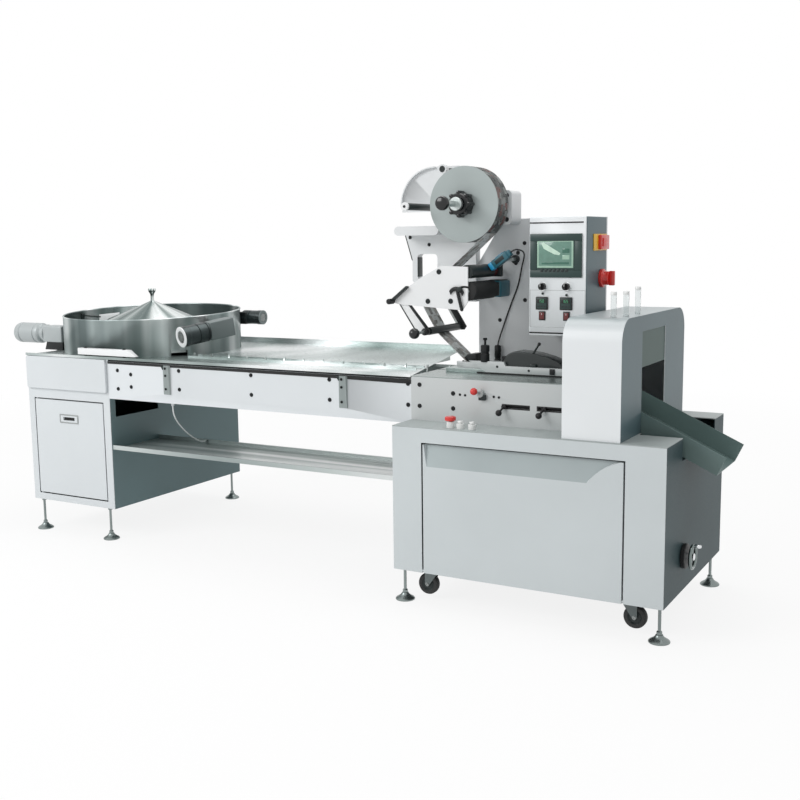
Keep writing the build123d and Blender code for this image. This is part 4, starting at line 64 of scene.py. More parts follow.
# Positions below are millimetres in the machine's own frame: X from the left end of
# the wrapping station's body, Y from its front face, Z from the floor.
body_low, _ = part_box("base_front_frame")
MM = 0.001
TO_ROW = Matrix.Translation((body_low.x, body_low.y, 0)) @ Matrix.Scale(MM, 4)
MAIN = "machine_frame"
RIGHT, LEFT, BACK, FRONT, UP = (1, 0, 0), (-1, 0, 0), (0, 1, 0), (0, -1, 0), (0, 0, 1)


def row(x, y, z):
    """Machine millimetres to metres in the shared frame."""
    return TO_ROW @ Vector((x, y, z))


def new_object(name, data):
    obj = bpy.data.objects.new(name, data)
    bpy.context.scene.collection.objects.link(obj)
    return obj


def mesh_from(bm, name):
    mesh = bpy.data.meshes.new(name)
    bm.to_mesh(mesh)
    bm.free()
    return mesh


# ---- camera
CAMERA_AT = (2016.5, -3508.4, 1381.3)
CAMERA_YAW, CAMERA_PITCH, CAMERA_ROLL = 0.5148, 0.1442, -0.0122
FOCAL_PIXELS, FRAME_PIXELS, SENSOR = 1084.0957, 800, 36
CENTRE_X, CENTRE_Y = 398.9432, 398.4286

camera_data = bpy.data.cameras.new("camera")
camera = new_object("camera", camera_data)
bpy.context.scene.camera = camera
camera.matrix_world = (Matrix.Translation(row(*CAMERA_AT))
                       @ Matrix.Rotation(CAMERA_YAW, 4, "Z")
                       @ Matrix.Rotation(math.pi / 2 - CAMERA_PITCH, 4, "X")
                       @ Matrix.Rotation(CAMERA_ROLL, 4, "Z"))
camera_data.sensor_width = SENSOR
camera_data.lens = SENSOR * FOCAL_PIXELS / FRAME_PIXELS
camera_data.shift_x = (FRAME_PIXELS / 2 - CENTRE_X) / FRAME_PIXELS
camera_data.shift_y = (CENTRE_Y - FRAME_PIXELS / 2) / FRAME_PIXELS
camera_data.clip_start, camera_data.clip_end = 0.05, 60

# ---- materials
MATS = {}
NOISE_LOW, NOISE_HIGH, WORN_FROM = 0.3, 0.7, 0.78
# Ramp stops of the painted reflection bands on polished steel.
BAND_DARK, BAND_MIDDLE, BAND_LIGHT = 0.38, 0.5, 0.62
FIRST_INK, INK_STEP, LAST_GROUND = 0.42, 0.16, 0.95
SHEET_SPREAD = 0.05


def feed(tree, node, inputs):
    """Give a node its inputs, each a plain value or another node's output."""
    for name, value in inputs.items():
        if isinstance(value, bpy.types.NodeSocket):
            tree.links.new(value, node.inputs[name])
        else:
            node.inputs[name].default_value = value


def add_node(tree, kind, inputs, **settings):
    node = tree.nodes.new("ShaderNode" + kind)
    for name, value in settings.items():
        setattr(node, name, value)
    feed(tree, node, inputs)
    return node


def new_material(name):
    """Material kept under its name in MATS, as its node tree and its shader."""
    mat = bpy.data.materials.new(name)
    mat.use_nodes = True
    MATS[name] = mat
    return mat.node_tree, mat.node_tree.nodes["Principled BSDF"]


def object_place(tree):
    return add_node(tree, "TexCoord", {}).outputs["Object"]


def noise(tree, scale, detail=4, stretch=(1, 1, 1), centre=None):
    """Noise on object coordinates, stretched along the axes or in wedges round a centre."""
    mapping = add_node(tree, "Mapping", {"Vector": object_place(tree), "Scale": stretch})
    vector = mapping.outputs["Vector"]
    if centre:
        mapping.inputs["Location"].default_value = (-centre[0], -centre[1], 0)
        vector = add_node(tree, "VectorMath", {0: vector}, operation="NORMALIZE").outputs["Vector"]
    return add_node(tree, "TexNoise",
                    {"Vector": vector, "Scale": scale, "Detail": detail}).outputs["Fac"]


def ramp(tree, source, stops, blend="LINEAR"):
    """Colour from (place, colour) stops along a value."""
    node = add_node(tree, "ValToRGB", {"Fac": source})
    elements = node.color_ramp.elements
    while len(elements) < len(stops):
        elements.new(0.5)
    for element, (place, colour) in zip(elements, stops):
        element.position = place
        element.color = (*colour, 1)
    node.color_ramp.interpolation = blend
    return node.outputs["Color"]


def shade(colour, amount):
    return tuple(max(0, min(1, c * (1 + amount))) for c in colour)


def drifting(tree, colour, drift, scale, detail=3, worn=None):
    """Colour that drifts slowly darker and lighter, with worn places where they are given."""
    stops = [(NOISE_LOW, shade(colour, -drift)), (NOISE_HIGH, shade(colour, drift))]
    if worn:
        stops.append((WORN_FROM, worn))
    return ramp(tree, noise(tree, scale, detail), stops)


def fine_grain(tree, shader, roughness, scale, detail=4, stretch=(1, 1, 1), strength=0,
               depth=0.0002):
    """Fine noise that spreads the roughness between two values and raises a faint relief."""
    fine = noise(tree, scale, detail, stretch)
    low, high = roughness
    rough = add_node(tree, "MapRange", {"Value": fine, "From Min": NOISE_LOW,
                                        "From Max": NOISE_HIGH, "To Min": low, "To Max": high})
    feed(tree, shader, {"Roughness": rough.outputs["Result"]})
    if strength:
        relief = add_node(tree, "Bump", {"Height": fine, "Strength": strength, "Distance": depth})
        feed(tree, shader, {"Normal": relief.outputs["Normal"]})


def around(roughness, spread):
    return roughness - spread, roughness + spread


def surface(name, colour, roughness, metal=0, drift=0.05, drift_scale=2.2, grain=500,
            relief=0.12, relief_depth=0.0002, stretch=(1, 1, 1), coat=0, worn=None,
            rough_spread=0.06, gloss=0.5):
    """Finish with slow colour drift, roughness spread and a fine surface grain."""
    tree, shader = new_material(name)
    feed(tree, shader, {"Base Color": drifting(tree, colour, drift, drift_scale, worn=worn),
                        "Metallic": metal, "Specular IOR Level": gloss, "Coat Weight": coat})
    fine_grain(tree, shader, around(roughness, rough_spread), grain, 5, stretch, relief,
               relief_depth)


def reflection_banded_steel(name, dark, middle, light, roughness, scale, stretch, centre=None, metal=1,
                 grit=0.06):
    """Sheet steel with painted reflections: soft light and dark bands, or wedges round a centre.
    """
    tree, shader = new_material(name)
    bands = noise(tree, scale, 2.5, stretch, centre)
    stops = [(BAND_DARK, dark), (BAND_MIDDLE, middle), (BAND_LIGHT, light)]
    feed(tree, shader, {"Base Color": ramp(tree, bands, stops), "Metallic": metal})
    fine_grain(tree, shader, around(roughness, SHEET_SPREAD), 120, 4, (1, 1, 14), grit)


def hood_sheet_with_painted_top_shade(name, front, top, low, high, roughness):
    """Powder coat whose colour turns softly to a darker painted shade, given as top, between two
    heights in metres.
    """
    tree, shader = new_material(name)
    split = add_node(tree, "SeparateXYZ", {"Vector": object_place(tree)})
    rise = add_node(tree, "MapRange",
                    {"Value": split.outputs["Z"], "From Min": low, "From Max": high})
    mix = add_node(tree, "Mix", {"Factor": rise.outputs["Result"], "B": (*top, 1),
                                 "A": drifting(tree, front, 0.03, 2)}, data_type="RGBA")
    feed(tree, shader, {"Base Color": mix.outputs["Result"]})
    fine_grain(tree, shader, around(roughness, SHEET_SPREAD), 420, 5, strength=0.12)


def printed(name, ground, inks):
    """Film with a generic repeated print of small blocks."""
    tree, shader = new_material(name)
    cells = add_node(tree, "TexVoronoi", {"Vector": object_place(tree), "Scale": 46,
                                          "Randomness": 0.55}, distance="CHEBYCHEV")
    split = add_node(tree, "SeparateXYZ", {"Vector": cells.outputs["Color"]})
    stops = [(FIRST_INK + INK_STEP * index, ink) for index, ink in enumerate(inks)]
    stops = [(0, ground), *stops, (LAST_GROUND, ground)]
    feed(tree, shader, {"Base Color": ramp(tree, split.outputs["X"], stops, "CONSTANT")})
    fine_grain(tree, shader, (0.22, 0.4), 90, strength=0.25, depth=0.0006)


def clear(name, tint):
    """Clear plastic with an almost even gloss."""
    tree, shader = new_material(name)
    feed(tree, shader, {"Base Color": (*tint, 1), "Transmission Weight": 0.92, "IOR": 1.49})
    fine_grain(tree, shader, (0.02, 0.07), 35)


def glow(name, colour, strength):
    """Lit display segment behind glass."""
    tree, shader = new_material(name)
    tint = drifting(tree, colour, 0.08, 60, 4)
    feed(tree, shader, {"Base Color": tint, "Emission Color": tint, "Emission Strength": strength,
                        "Roughness": 0.15})


DRUM = (-1725, 616)
HOOD_SHADE_TURN = (1.067, 1.11)
BRUSHED = {"grain": 34, "stretch": (1, 26, 26), "relief": 0.1}
CASTING = {"grain": 320, "relief": 0.3, "relief_depth": 0.0004}
BRIGHT = {"metal": 1, "grain": 60, "relief": 0.02}

surface("light_coat", (0.7, 0.735, 0.755), 0.42, drift=0.025)
surface("body_coat", (0.565, 0.61, 0.622), 0.42, drift=0.035)
# Painted shade for the scoop of the base flap.
surface("scoop_painted_shade", (0.38, 0.435, 0.442), 0.42, drift=0.1)
surface("cabinet_coat", (0.635, 0.67, 0.688), 0.42, drift=0.025)
# Side, back and floor sheets: the fronts' powder coat painted darker as shade.
surface("feeder_side_painted_shade", (0.112, 0.18, 0.19), 0.45, drift=0.07)
surface("base_side_painted_shade", (0.038, 0.066, 0.072), 0.48, drift=0.14, gloss=0.2)
surface("chute_coat", (0.135, 0.2, 0.192), 0.42, drift=0.12)
# The hood's top is painted darker as shade.
hood_sheet_with_painted_top_shade("hood_coat", (0.78, 0.81, 0.825), (0.34, 0.39, 0.4), *HOOD_SHADE_TURN, 0.34)
surface("box_coat", (0.76, 0.79, 0.805), 0.34, drift=0.03)
surface("end_painted_shade", (0.074, 0.122, 0.138), 0.38, drift=0.1, gloss=0.35)
surface("ledge_coat", (0.36, 0.4, 0.395), 0.4)
surface("bracket_coat", (0.3, 0.345, 0.34), 0.44, drift=0.12)
surface("panel_plate", (0.55, 0.575, 0.575), 0.38, metal=0.25, drift=0.03, stretch=(1, 30, 30),
        grain=60)
surface("table_steel", (0.27, 0.315, 0.305), 0.3, metal=0.7, drift=0.1, **BRUSHED)
surface("wall_steel", (0.31, 0.355, 0.345), 0.38, metal=0.5, drift=0.08, **BRUSHED)
surface("brushed_steel", (0.58, 0.63, 0.62), 0.3, metal=0.9, drift=0.12, **BRUSHED)
# Deck, drum, tray and cone carry painted reflections as light and dark bands, and as wedges round
# the cone.
reflection_banded_steel("deck_steel", (0.25, 0.3, 0.29), (0.47, 0.53, 0.52), (0.84, 0.87, 0.87), 0.3,
             1.9, (1, 0.45, 0), metal=0.8, grit=0.03)
reflection_banded_steel("polished_steel", (0.15, 0.19, 0.19), (0.37, 0.43, 0.425), (0.95, 0.97, 0.97), 0.36,
             5, (1, 1, 0.02), metal=0.62)
reflection_banded_steel("tray_steel", (0.24, 0.29, 0.285), (0.52, 0.57, 0.56), (0.97, 0.98, 0.98), 0.34,
             2.2, (0.16, 5, 1), metal=0.45, grit=0)
reflection_banded_steel("cone_steel", (0.14, 0.18, 0.175), (0.33, 0.38, 0.37), (0.76, 0.8, 0.79), 0.24,
             1.7, (1, 1, 0), tuple(row(*DRUM, 0)))
surface("disc_steel", (0.42, 0.455, 0.45), 0.28, metal=1, drift=0.12, drift_scale=5)
surface("white_plate", (0.8, 0.815, 0.82), 0.36, drift=0.02)
surface("head_white", (0.74, 0.76, 0.77), 0.4, drift=0.03)
surface("dark_steel", (0.018, 0.026, 0.026), 0.36, drift=0.25, gloss=0.35)
surface("caster_steel", (0.13, 0.15, 0.15), 0.34, metal=0.8, drift=0.2)
surface("foot_metal", (0.24, 0.275, 0.27), 0.32, metal=0.9, drift=0.15)
surface("hub_grey", (0.34, 0.36, 0.355), 0.38, metal=0.6)
surface("black_oxide", (0.01, 0.012, 0.013), 0.42, drift=0.2, gloss=0.3)
surface("dark_chrome", (0.2, 0.235, 0.23), 0.16, drift=0.1, rough_spread=0.04, **BRIGHT)
surface("chrome", (0.72, 0.74, 0.75), 0.1, drift=0.03, rough_spread=0.03, **BRIGHT)
surface("cast_grey", (0.4, 0.43, 0.425), 0.42, metal=0.35, grain=320, relief=0.35,
        relief_depth=0.0004)
surface("motor_grey", (0.16, 0.19, 0.19), 0.42, metal=0.3, **CASTING)
surface("motor_dark", (0.04, 0.052, 0.053), 0.28, metal=0.55, drift=0.35, drift_scale=9, **CASTING)
surface("motor_light", (0.41, 0.445, 0.45), 0.4, metal=0.2, **CASTING)
surface("black_plastic", (0.01, 0.01, 0.011), 0.42, drift=0.15, gloss=0.35, grain=900,
        relief=0.2)
surface("soft_black", (0.012, 0.013, 0.013), 0.75, drift=0.1)
surface("tyre_rubber", (0.02, 0.021, 0.021), 0.62, drift=0.3, worn=(0.05, 0.05, 0.048))
surface("knob_black", (0.007, 0.008, 0.009), 0.16, drift=0.1, rough_spread=0.04)
surface("smoked_cover", (0.016, 0.022, 0.022), 0.2, drift=0.3, drift_scale=8, rough_spread=0.05,
        grain=120)
surface("red_plastic", (0.62, 0.022, 0.016), 0.28, drift=0.06, coat=0.3)
surface("deep_red", (0.13, 0.016, 0.016), 0.34, drift=0.1)
surface("yellow_plastic", (0.8, 0.46, 0.03), 0.36)
surface("white_plastic", (0.8, 0.81, 0.8), 0.32, drift=0.03)
surface("bezel_green", (0.012, 0.038, 0.034), 0.4, drift=0.12)
surface("curtain_green", (0.04, 0.082, 0.072), 0.5, drift=0.15)
surface("teal_paint", (0.012, 0.115, 0.155), 0.36, drift=0.15, coat=0.2)
surface("bright_blue", (0.01, 0.3, 0.55), 0.28, drift=0.1, coat=0.3)
surface("hose_white", (0.74, 0.78, 0.78), 0.35, drift=0.04)
surface("cable_black", (0.014, 0.014, 0.016), 0.45, drift=0.1)
surface("film_side", (0.365, 0.415, 0.41), 0.45, drift_scale=6, grain=260, relief=0.3,
        relief_depth=0.0003)
surface("cardboard", (0.5, 0.47, 0.42), 0.6, drift=0.08)
glow("screen_border", (0.3, 0.46, 0.36), 0.1)
glow("screen_dark", (0.045, 0.14, 0.1), 0.06)
glow("screen_pale", (0.5, 0.66, 0.55), 0.15)
glow("screen_mid", (0.13, 0.25, 0.2), 0.08)
glow("digit_green", (0.1, 0.42, 0.22), 0.3)
clear("clear_acrylic", (0.8, 0.84, 0.84))
printed("film_print", (0.68, 0.7, 0.69),
        [(0.28, 0.275, 0.26), (0.78, 0.8, 0.79), (0.47, 0.44, 0.41)])
printed("film_rim", (0.14, 0.15, 0.145),
        [(0.03, 0.034, 0.033), (0.28, 0.1, 0.085), (0.48, 0.5, 0.49)])

# ---- mesh helpers
SHARP_EDGE, SHARP_TURN = math.radians(50), math.radians(35)


def ease_edges(bm, width, segments=2):
    """Bevel every sharp edge."""
    if width > 0:
        sharp = [edge for edge in bm.edges
                 if len(edge.link_faces) == 2 and edge.calc_face_angle(0) > SHARP_EDGE]
        bmesh.ops.bevel(bm, geom=sharp, offset=width, offset_type="OFFSET", segments=segments,
                        profile=0.5, affect="EDGES", clamp_overlap=True, material=-1)
    return bm


def placed(bm, matrix):
    """The same shape, turned and moved by a matrix."""
    bmesh.ops.transform(bm, matrix=matrix, verts=bm.verts)
    return bm


def block(x0, x1, y0, y1, z0, z1, ease=0, segments=2):
    bm = bmesh.new()
    bmesh.ops.create_cube(bm, size=1)
    bmesh.ops.scale(bm, vec=(x1 - x0, y1 - y0, z1 - z0), verts=bm.verts)
    middle = Matrix.Translation(((x0 + x1) / 2, (y0 + y1) / 2, (z0 + z1) / 2))
    return ease_edges(placed(bm, middle), ease, segments)


def aim(start, direction):
    """Matrix that takes +Z at the origin to a direction from a start point."""
    turn = Vector(direction).to_track_quat("Z", "Y").to_matrix().to_4x4()
    return Matrix.Translation(Vector(start)) @ turn


def rod(start, end, radius, sides=32, ease=0, far_radius=None):
    """Round bar between two points, or a slim cone with a radius of its own at the far end."""
    start, end = Vector(start), Vector(end)
    length = (end - start).length
    bm = bmesh.new()
    bmesh.ops.create_cone(bm, cap_ends=True, cap_tris=False, segments=sides, radius1=radius,
                          radius2=radius if far_radius is None else far_radius, depth=length)
    bmesh.ops.translate(bm, vec=(0, 0, length / 2), verts=bm.verts)
    return ease_edges(placed(bm, aim(start, end - start)), ease)


def axle(place, y0, y1, radius, sides=32, ease=0):
    """Round bar along Y at an X and Z place."""
    return rod((place[0], y0, place[1]), (place[0], y1, place[1]), radius, sides, ease)


def ball(centre, radius, sides=32):
    bm = bmesh.new()
    bmesh.ops.create_uvsphere(bm, u_segments=sides, v_segments=sides // 2, radius=radius)
    return placed(bm, Matrix.Translation(centre))


def lathe(profile, start, direction, steps=64):
    """Turn (radius, height) points round an axis. A profile clear of the axis makes a ring."""
    bm = bmesh.new()
    verts = [bm.verts.new((r, 0, h)) for r, h in profile]
    edges = [bm.edges.new(pair) for pair in zip(verts, verts[1:])]
    if profile[0][0] > 0 and profile[-1][0] > 0:
        edges.append(bm.edges.new((verts[-1], verts[0])))
    bmesh.ops.spin(bm, geom=verts + edges, cent=(0, 0, 0), axis=(0, 0, 1), angle=2 * math.pi,
                   steps=steps, use_merge=True, use_duplicate=False)
    bmesh.ops.remove_doubles(bm, verts=bm.verts, dist=0.001)
    bmesh.ops.recalc_face_normals(bm, faces=bm.faces)
    return placed(bm, aim(start, direction))


def roller(profile, place, y, steps):
    """Turned shape that runs back along Y from an X and Z place."""
    return lathe(profile, (place[0], y, place[1]), BACK, steps)


def prism(points, y0, y1, ease=0, segments=2):
    """Plate from an outline in X and Z between two depths."""
    bm = bmesh.new()
    face = bm.faces.new([bm.verts.new((x, y0, z)) for x, z in points])
    out = bmesh.ops.extrude_face_region(bm, geom=[face])
    moved = [v for v in out["geom"] if isinstance(v, bmesh.types.BMVert)]
    bmesh.ops.translate(bm, vec=(0, y1 - y0, 0), verts=moved)
    bmesh.ops.recalc_face_normals(bm, faces=bm.faces)
    return ease_edges(bm, ease, segments)


def arc_points(cx, cz, radius, start, end, steps):
    """Points on an arc, with angles in degrees."""
    turns = [math.radians(start + (end - start) * index / steps) for index in range(steps + 1)]
    return [(cx + radius * math.cos(t), cz + radius * math.sin(t)) for t in turns]


def join(target, source, index=0):
    """Take a shape into another one, with its faces on one material."""
    for face in source.faces:
        face.material_index = index
    mesh = mesh_from(source, "joined")
    target.from_mesh(mesh)
    bpy.data.meshes.remove(mesh)


def merged(shapes):
    """Several shapes as one."""
    whole = bmesh.new()
    for shape in shapes:
        join(whole, shape)
    return whole


def finish_object(name, mesh, body, replaced, smooth):
    """Object from a mesh, smooth up to an angle, riding on a body."""
    mesh.polygons.foreach_set("use_smooth", [True] * len(mesh.polygons))
    mesh.set_sharp_from_angle(angle=smooth)
    obj = new_object(name, mesh)
    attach(obj, body)
    if replaced:
        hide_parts(*replaced)
    return obj


def piece(name, parts, body=MAIN, replaced=()):
    """Object from parts, each a shape or a list of shapes with its material, on a body."""
    target = bmesh.new()
    order = []
    for shapes, material in parts:
        if material not in order:
            order.append(material)
        for shape in shapes if isinstance(shapes, list) else [shapes]:
            join(target, shape, order.index(material))
    placed(target, TO_ROW)
    mesh = mesh_from(target, name)
    for material in order:
        mesh.materials.append(MATS[material])
    return finish_object(name, mesh, body, replaced, SHARP_TURN)


def socket_bolt(x, y, z, radius=6.5, height=6, direction=FRONT):
    """Cap screw head with its hexagon socket and washer, standing on a face."""
    profile = [(0, -0.6), (radius * 1.35, -0.6), (radius * 1.35, 1.2), (radius, 1.2),
               (radius, height - 0.8), (radius - 0.8, height), (radius * 0.55, height),
               (radius * 0.55, height * 0.45), (0, height * 0.45)]
    return lathe(profile, (x, y, z), direction, 20)


def bolts(places, y, radius, height):
    """Cap screws at X and Z places on a face that looks to the front."""
    return [socket_bolt(x, y, z, radius, height) for x, z in places]


# ---- finishes of the CAD nodes
NODE_FINISH = {
    "light_coat": "front_rail",
    "body_coat": "base_front_frame base_flap",
    "cabinet_coat": "feeder_front_frame feeder_cover_panel feeder_door",
    "ledge_coat": "base_top",
    "base_side_painted_shade": "base_left_wall base_right_wall base_back_wall base_floor",
    "feeder_side_painted_shade": "feeder_left_wall feeder_right_wall feeder_back_wall feeder_floor",
    "chute_coat": "exit_chute",
    "hood_coat": "guard_hood",
    "box_coat": "control_box",
    "panel_plate": "infeed_panel",
    "table_steel": "table_top",
    "wall_steel": "back_rail",
    "deck_steel": "deck_pan",
    "brushed_steel": "pusher_chain",
    "tray_steel": "lower_tray",
    "disc_steel": "feed_disc",
    "polished_steel": "disc_drum",
    "head_white": "head_plate film_back_frame reel_bracket",
    "white_plate": "film_front_plate",
    "dark_steel": "idler_roller",
    "caster_steel": "caster_fork_left caster_fork_right",
    "black_plastic": "slot_lever_left slot_lever_right selector_left selector_right",
    "red_plastic": "mushroom_button",
    "white_plastic": "start_button stop_button",
    "curtain_green": "hood_curtain",
    "clear_acrylic": "hood_posts",
    "film_print": "film_web",
}
BEVELS = {"base_front_frame": 1.2, "base_top": 1.2, "base_flap": 1.4, "feeder_cover_panel": 2.5,
          "feeder_door": 1.2, "guard_hood": 1, "head_plate": 1, "film_front_plate": 0.8,
          "film_back_frame": 1.2, "table_top": 0.6, "feeder_front_frame": 0.8,
          "base_right_wall": 0.6, "exit_chute": 0.5, "lower_tray": 0.4}
SMOOTH = {"base_flap": 9, "base_right_wall": 9, "disc_drum": 62}
SAME_POINT, FLAT = 0.00002, math.radians(0.3)


def dress_node(name, material, ease=0, smooth=32):
    """Merged copy of a CAD node with its finish, eased edges and smooth curves."""
    node = NODES[name]
    bm = bmesh.new()
    bm.from_mesh(node.data)
    bmesh.ops.remove_doubles(bm, verts=bm.verts, dist=SAME_POINT)
    bmesh.ops.dissolve_limit(bm, angle_limit=FLAT, verts=bm.verts, edges=bm.edges)
    bmesh.ops.recalc_face_normals(bm, faces=bm.faces)
    ease_edges(bm, ease * MM)
    mesh = mesh_from(bm, name + "_shell")
    mesh.materials.append(MATS[material])
    obj = finish_object(name + "_shell", mesh, node["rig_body"], [name],
                        math.radians(smooth))
    if ease:
        even = obj.modifiers.new("even_faces", "WEIGHTED_NORMAL")
        even.keep_sharp = True


for finish_name, names in NODE_FINISH.items():
    for node_name in names.split():
        dress_node(node_name, finish_name, BEVELS.get(node_name, 0), SMOOTH.get(node_name, 32))

# Coats that change within one sheet, by the way its faces look or by where they lie. The hood's
# and box's ends and the flap's scoop take painted shade, the scoop's left lip a painted highlight.
SHADED_END_FACING = 0.7
RAIL_PLATES = row(-290, 153.5, 0)
SCOOP_Y, SCOOP_Z = -0.9, 0.1
LIP_X, LIP_Y, LIP_Z = -0.05, -0.2, 0.02


def recoat(shell, coats, number):
    """More coats for a shell, each face taking the one whose number it is given."""
    sheet = bpy.data.objects[shell].data
    for coat in coats:
        sheet.materials.append(MATS[coat])
    for face in sheet.polygons:
        face.material_index = number(face) or face.material_index


def flap_painted_light(face):
    """1 for painted shade on the flat of the scoop, 2 for a painted highlight on its left lip, and
    0 for the rest.
    """
    look = face.normal
    if look.y < SCOOP_Y and look.z > SCOOP_Z:
        return 1
    return 2 if look.y < LIP_Y and look.z > LIP_Z and look.x < LIP_X else 0


# Faces of the hood and the operator box that look to the sides take painted shade.
for shell in ("guard_hood_shell", "control_box_shell"):
    recoat(shell, ["end_painted_shade"], lambda face: int(abs(face.normal.x) > SHADED_END_FACING))
recoat("front_rail_shell", ["bracket_coat"],
       lambda face: int(face.center.y < RAIL_PLATES.y and face.center.x < RAIL_PLATES.x))
# The base flap's scoop takes painted shade, and its left lip a painted highlight in the light
# coat.
recoat("base_flap_shell", ["scoop_painted_shade", "light_coat"], flap_painted_light)


# ---- cords
def curve_length(obj):
    mesh = bpy.data.meshes.new_from_object(obj)
    total = sum((mesh.vertices[e.vertices[0]].co - mesh.vertices[e.vertices[1]].co).length
                for e in mesh.edges)
    bpy.data.meshes.remove(mesh)
    return total


def free_cord(name, route, diameter, material, node):
    """Cord along a route; the length of its own smooth line is measured, and not used."""
    data = bpy.data.curves.new(name, "CURVE")
    data.dimensions = "3D"
    data.bevel_resolution = 5
    data.use_fill_caps = True
    data.resolution_u = 12
    spline = data.splines.new("NURBS")
    spline.points.add(len(route) - 1)
    for point, place in zip(spline.points, route):
        point.co = (*row(*place), 1)
    spline.order_u = 3
    spline.use_endpoint_u = True
    data.materials.append(MATS[material])
    obj = new_object(name, data)
    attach(obj, MAIN)
    length = curve_length(obj)
    data.bevel_depth = diameter / 2 * MM
    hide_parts(node)


HOSE_ROUTE = [(-1238, 182, 662), (-1238, 182, 644), (-1240, 189, 620), (-1245, 206, 596),
              (-1251, 230, 573), (-1258, 259, 550), (-1266, 290, 528), (-1273, 322, 507),
              (-1280, 355, 488), (-1286, 388, 471), (-1292, 420, 457), (-1295, 446, 449),
              (-1295, 466, 449)]
SENSOR_AT, SENSOR_LENGTH, SENSOR_TILT = Vector((269, 400, 1303)), 104, math.radians(35)
SENSOR_AXIS = Vector((math.cos(SENSOR_TILT), 0, math.sin(SENSOR_TILT)))
SENSOR_BACK = SENSOR_AT + SENSOR_AXIS * SENSOR_LENGTH / 2
CABLE_ROUTE = [tuple(SENSOR_BACK), tuple(SENSOR_BACK + SENSOR_AXIS * 20), (336, 424, 1342),
               (340, 456, 1336), (332, 488, 1322), (317, 516, 1302), (301, 535, 1274),
               (291, 543, 1238), (281, 545, 1198), (264, 545, 1156), (246, 545, 1112),
               (229, 544, 1066), (214, 541, 1020), (202, 537, 982), (196, 535, 955),
               (196, 535, 935)]
free_cord("tray_hose_line", HOSE_ROUTE, 6, "hose_white", "tray_hose")
free_cord("sensor_cable_line", CABLE_ROUTE, 6, "cable_black", "sensor_cable")

# ---- disc feeder
DRUM_R, DECK_Z = 432, 861


def fan_motor(start, direction, radius, length, fins, shell, cap, ring_finish):
    """Barrel with cooling fins, end ring and slotted fan cover."""
    inner, tip = radius - 3.5, radius + 1.5
    profile = [(0, 0), (radius - 3, 0), (radius, 3)]
    for index in range(fins):
        base = 10 + index * (length - 46) / fins
        profile += [(radius, base), (inner, base + 1), (inner, base + 4), (radius, base + 5)]
    profile += [(radius, length - 30), (tip, length - 28), (tip, length - 4), (radius - 2, length),
                (radius * 0.84, length), (radius * 0.84, length - 3), (0, length - 3)]
    end_ring = [(radius * 0.62, length - 2.9), (radius + 1.6, length - 2.9),
                (radius + 1.6, length - 0.5), (radius - 0.5, length + 1),
                (radius * 0.66, length + 1), (radius * 0.62, length)]
    rings = [lathe([(r - 1.6, 0), (r + 1.6, 0), (r + 1.6, 2.4), (r - 1.6, 2.4)], (0, 0, 0), UP, 40)
             for r in (radius * 0.18, radius * 0.34, radius * 0.5)]
    bars = [placed(block(-radius * 0.6, radius * 0.6, -1.6, 1.6, 0.4, 2),
                   Matrix.Rotation(math.pi * index / 4, 4, "Z")) for index in range(4)]
    outer = aim(Vector(start) + Vector(direction).normalized() * (length - 3), direction)
    return [(lathe(profile, start, direction, 56), shell),
            (lathe(end_ring, start, direction, 56), ring_finish),
            (placed(merged(rings + bars), outer), cap)]


left_wall = DRUM[0] - math.sqrt(DRUM_R ** 2 - 216 ** 2)
left_box = left_wall - 132
left_profile = [(0, 0), (40, 0), (44, 3), (44, 14), (38, 20), (38, 30), (49, 38), (50.5, 42),
                (50.5, 60), (47.5, 62), (47.5, 67), (50.5, 69), (50.5, 158), (47.5, 160),
                (47.5, 165), (50.5, 167), (50.5, 188), (47, 199), (36, 206), (0, 208)]
left_parts = [
    (block(left_box, left_wall - 2, 360, 440, 899.5, 980.5, 6, 3), "motor_light"),
    (lathe(left_profile, (left_box, 400, 940), LEFT, 56), "motor_light"),
    (prism([(left_box + 6, 861.2), (left_box + 20, 900), (left_wall - 2, 900),
            (left_wall - 2, 861.2)], 366, 434, 2), "black_oxide")]
front_place = (Matrix.Translation((*DRUM, 957)) @ Matrix.Rotation(-math.radians(20.6), 4, "Z")
               @ Matrix.Translation((DRUM_R + 90, -135, 0))
               @ Matrix.Rotation(math.radians(8), 4, "X") @ Matrix.Translation((0, 135, 0)))
front_parts = fan_motor((0, 5, 0), FRONT, 46, 138, 2, "motor_dark", "hub_grey", "white_plate")
front_parts += [(block(-36, 36, 5, 135, -42, 42, 5, 3), "motor_grey"),
                (block(-98, -30, 50, 90, -22, 24, 2), "black_oxide")]
for shape, _ in front_parts:
    placed(shape, front_place)
rear_wall = DRUM[0] + math.sqrt(DRUM_R ** 2 - 284 ** 2)
rear_parts = [
    (block(rear_wall + 4, rear_wall + 63, 866, 934, 976, 1036, 5, 3), "black_oxide"),
    (rod((rear_wall + 30, 900, 1010), (rear_wall + 66, 900, 1010), 34.5, 48, 2), "dark_steel")]
rear_parts += fan_motor((rear_wall + 63, 900, 1010), RIGHT, 34, 82.5, 1, "motor_dark", "hub_grey",
                        "motor_grey")
piece("brush_motor_set", left_parts + front_parts + rear_parts,
      replaced=["brush_motors"])
cone_profile = [(0, 1095), (327.4, 961.4), (327.8, 888.2), (330, 888.2), (330, 962.4),
                (328.4, 964.2), (14, 1099.2), (9.5, 1102), (8.4, 1108), (8.2, 1124), (9.6, 1135),
                (15, 1144), (18.4, 1150), (18.6, 1159.5), (17.4, 1161.6), (0, 1162)]
piece("cone_with_knob", [(lathe(cone_profile, (*DRUM, 0), UP, 128), "cone_steel")],
      body="feed_disc_body", replaced=["feed_cone"])

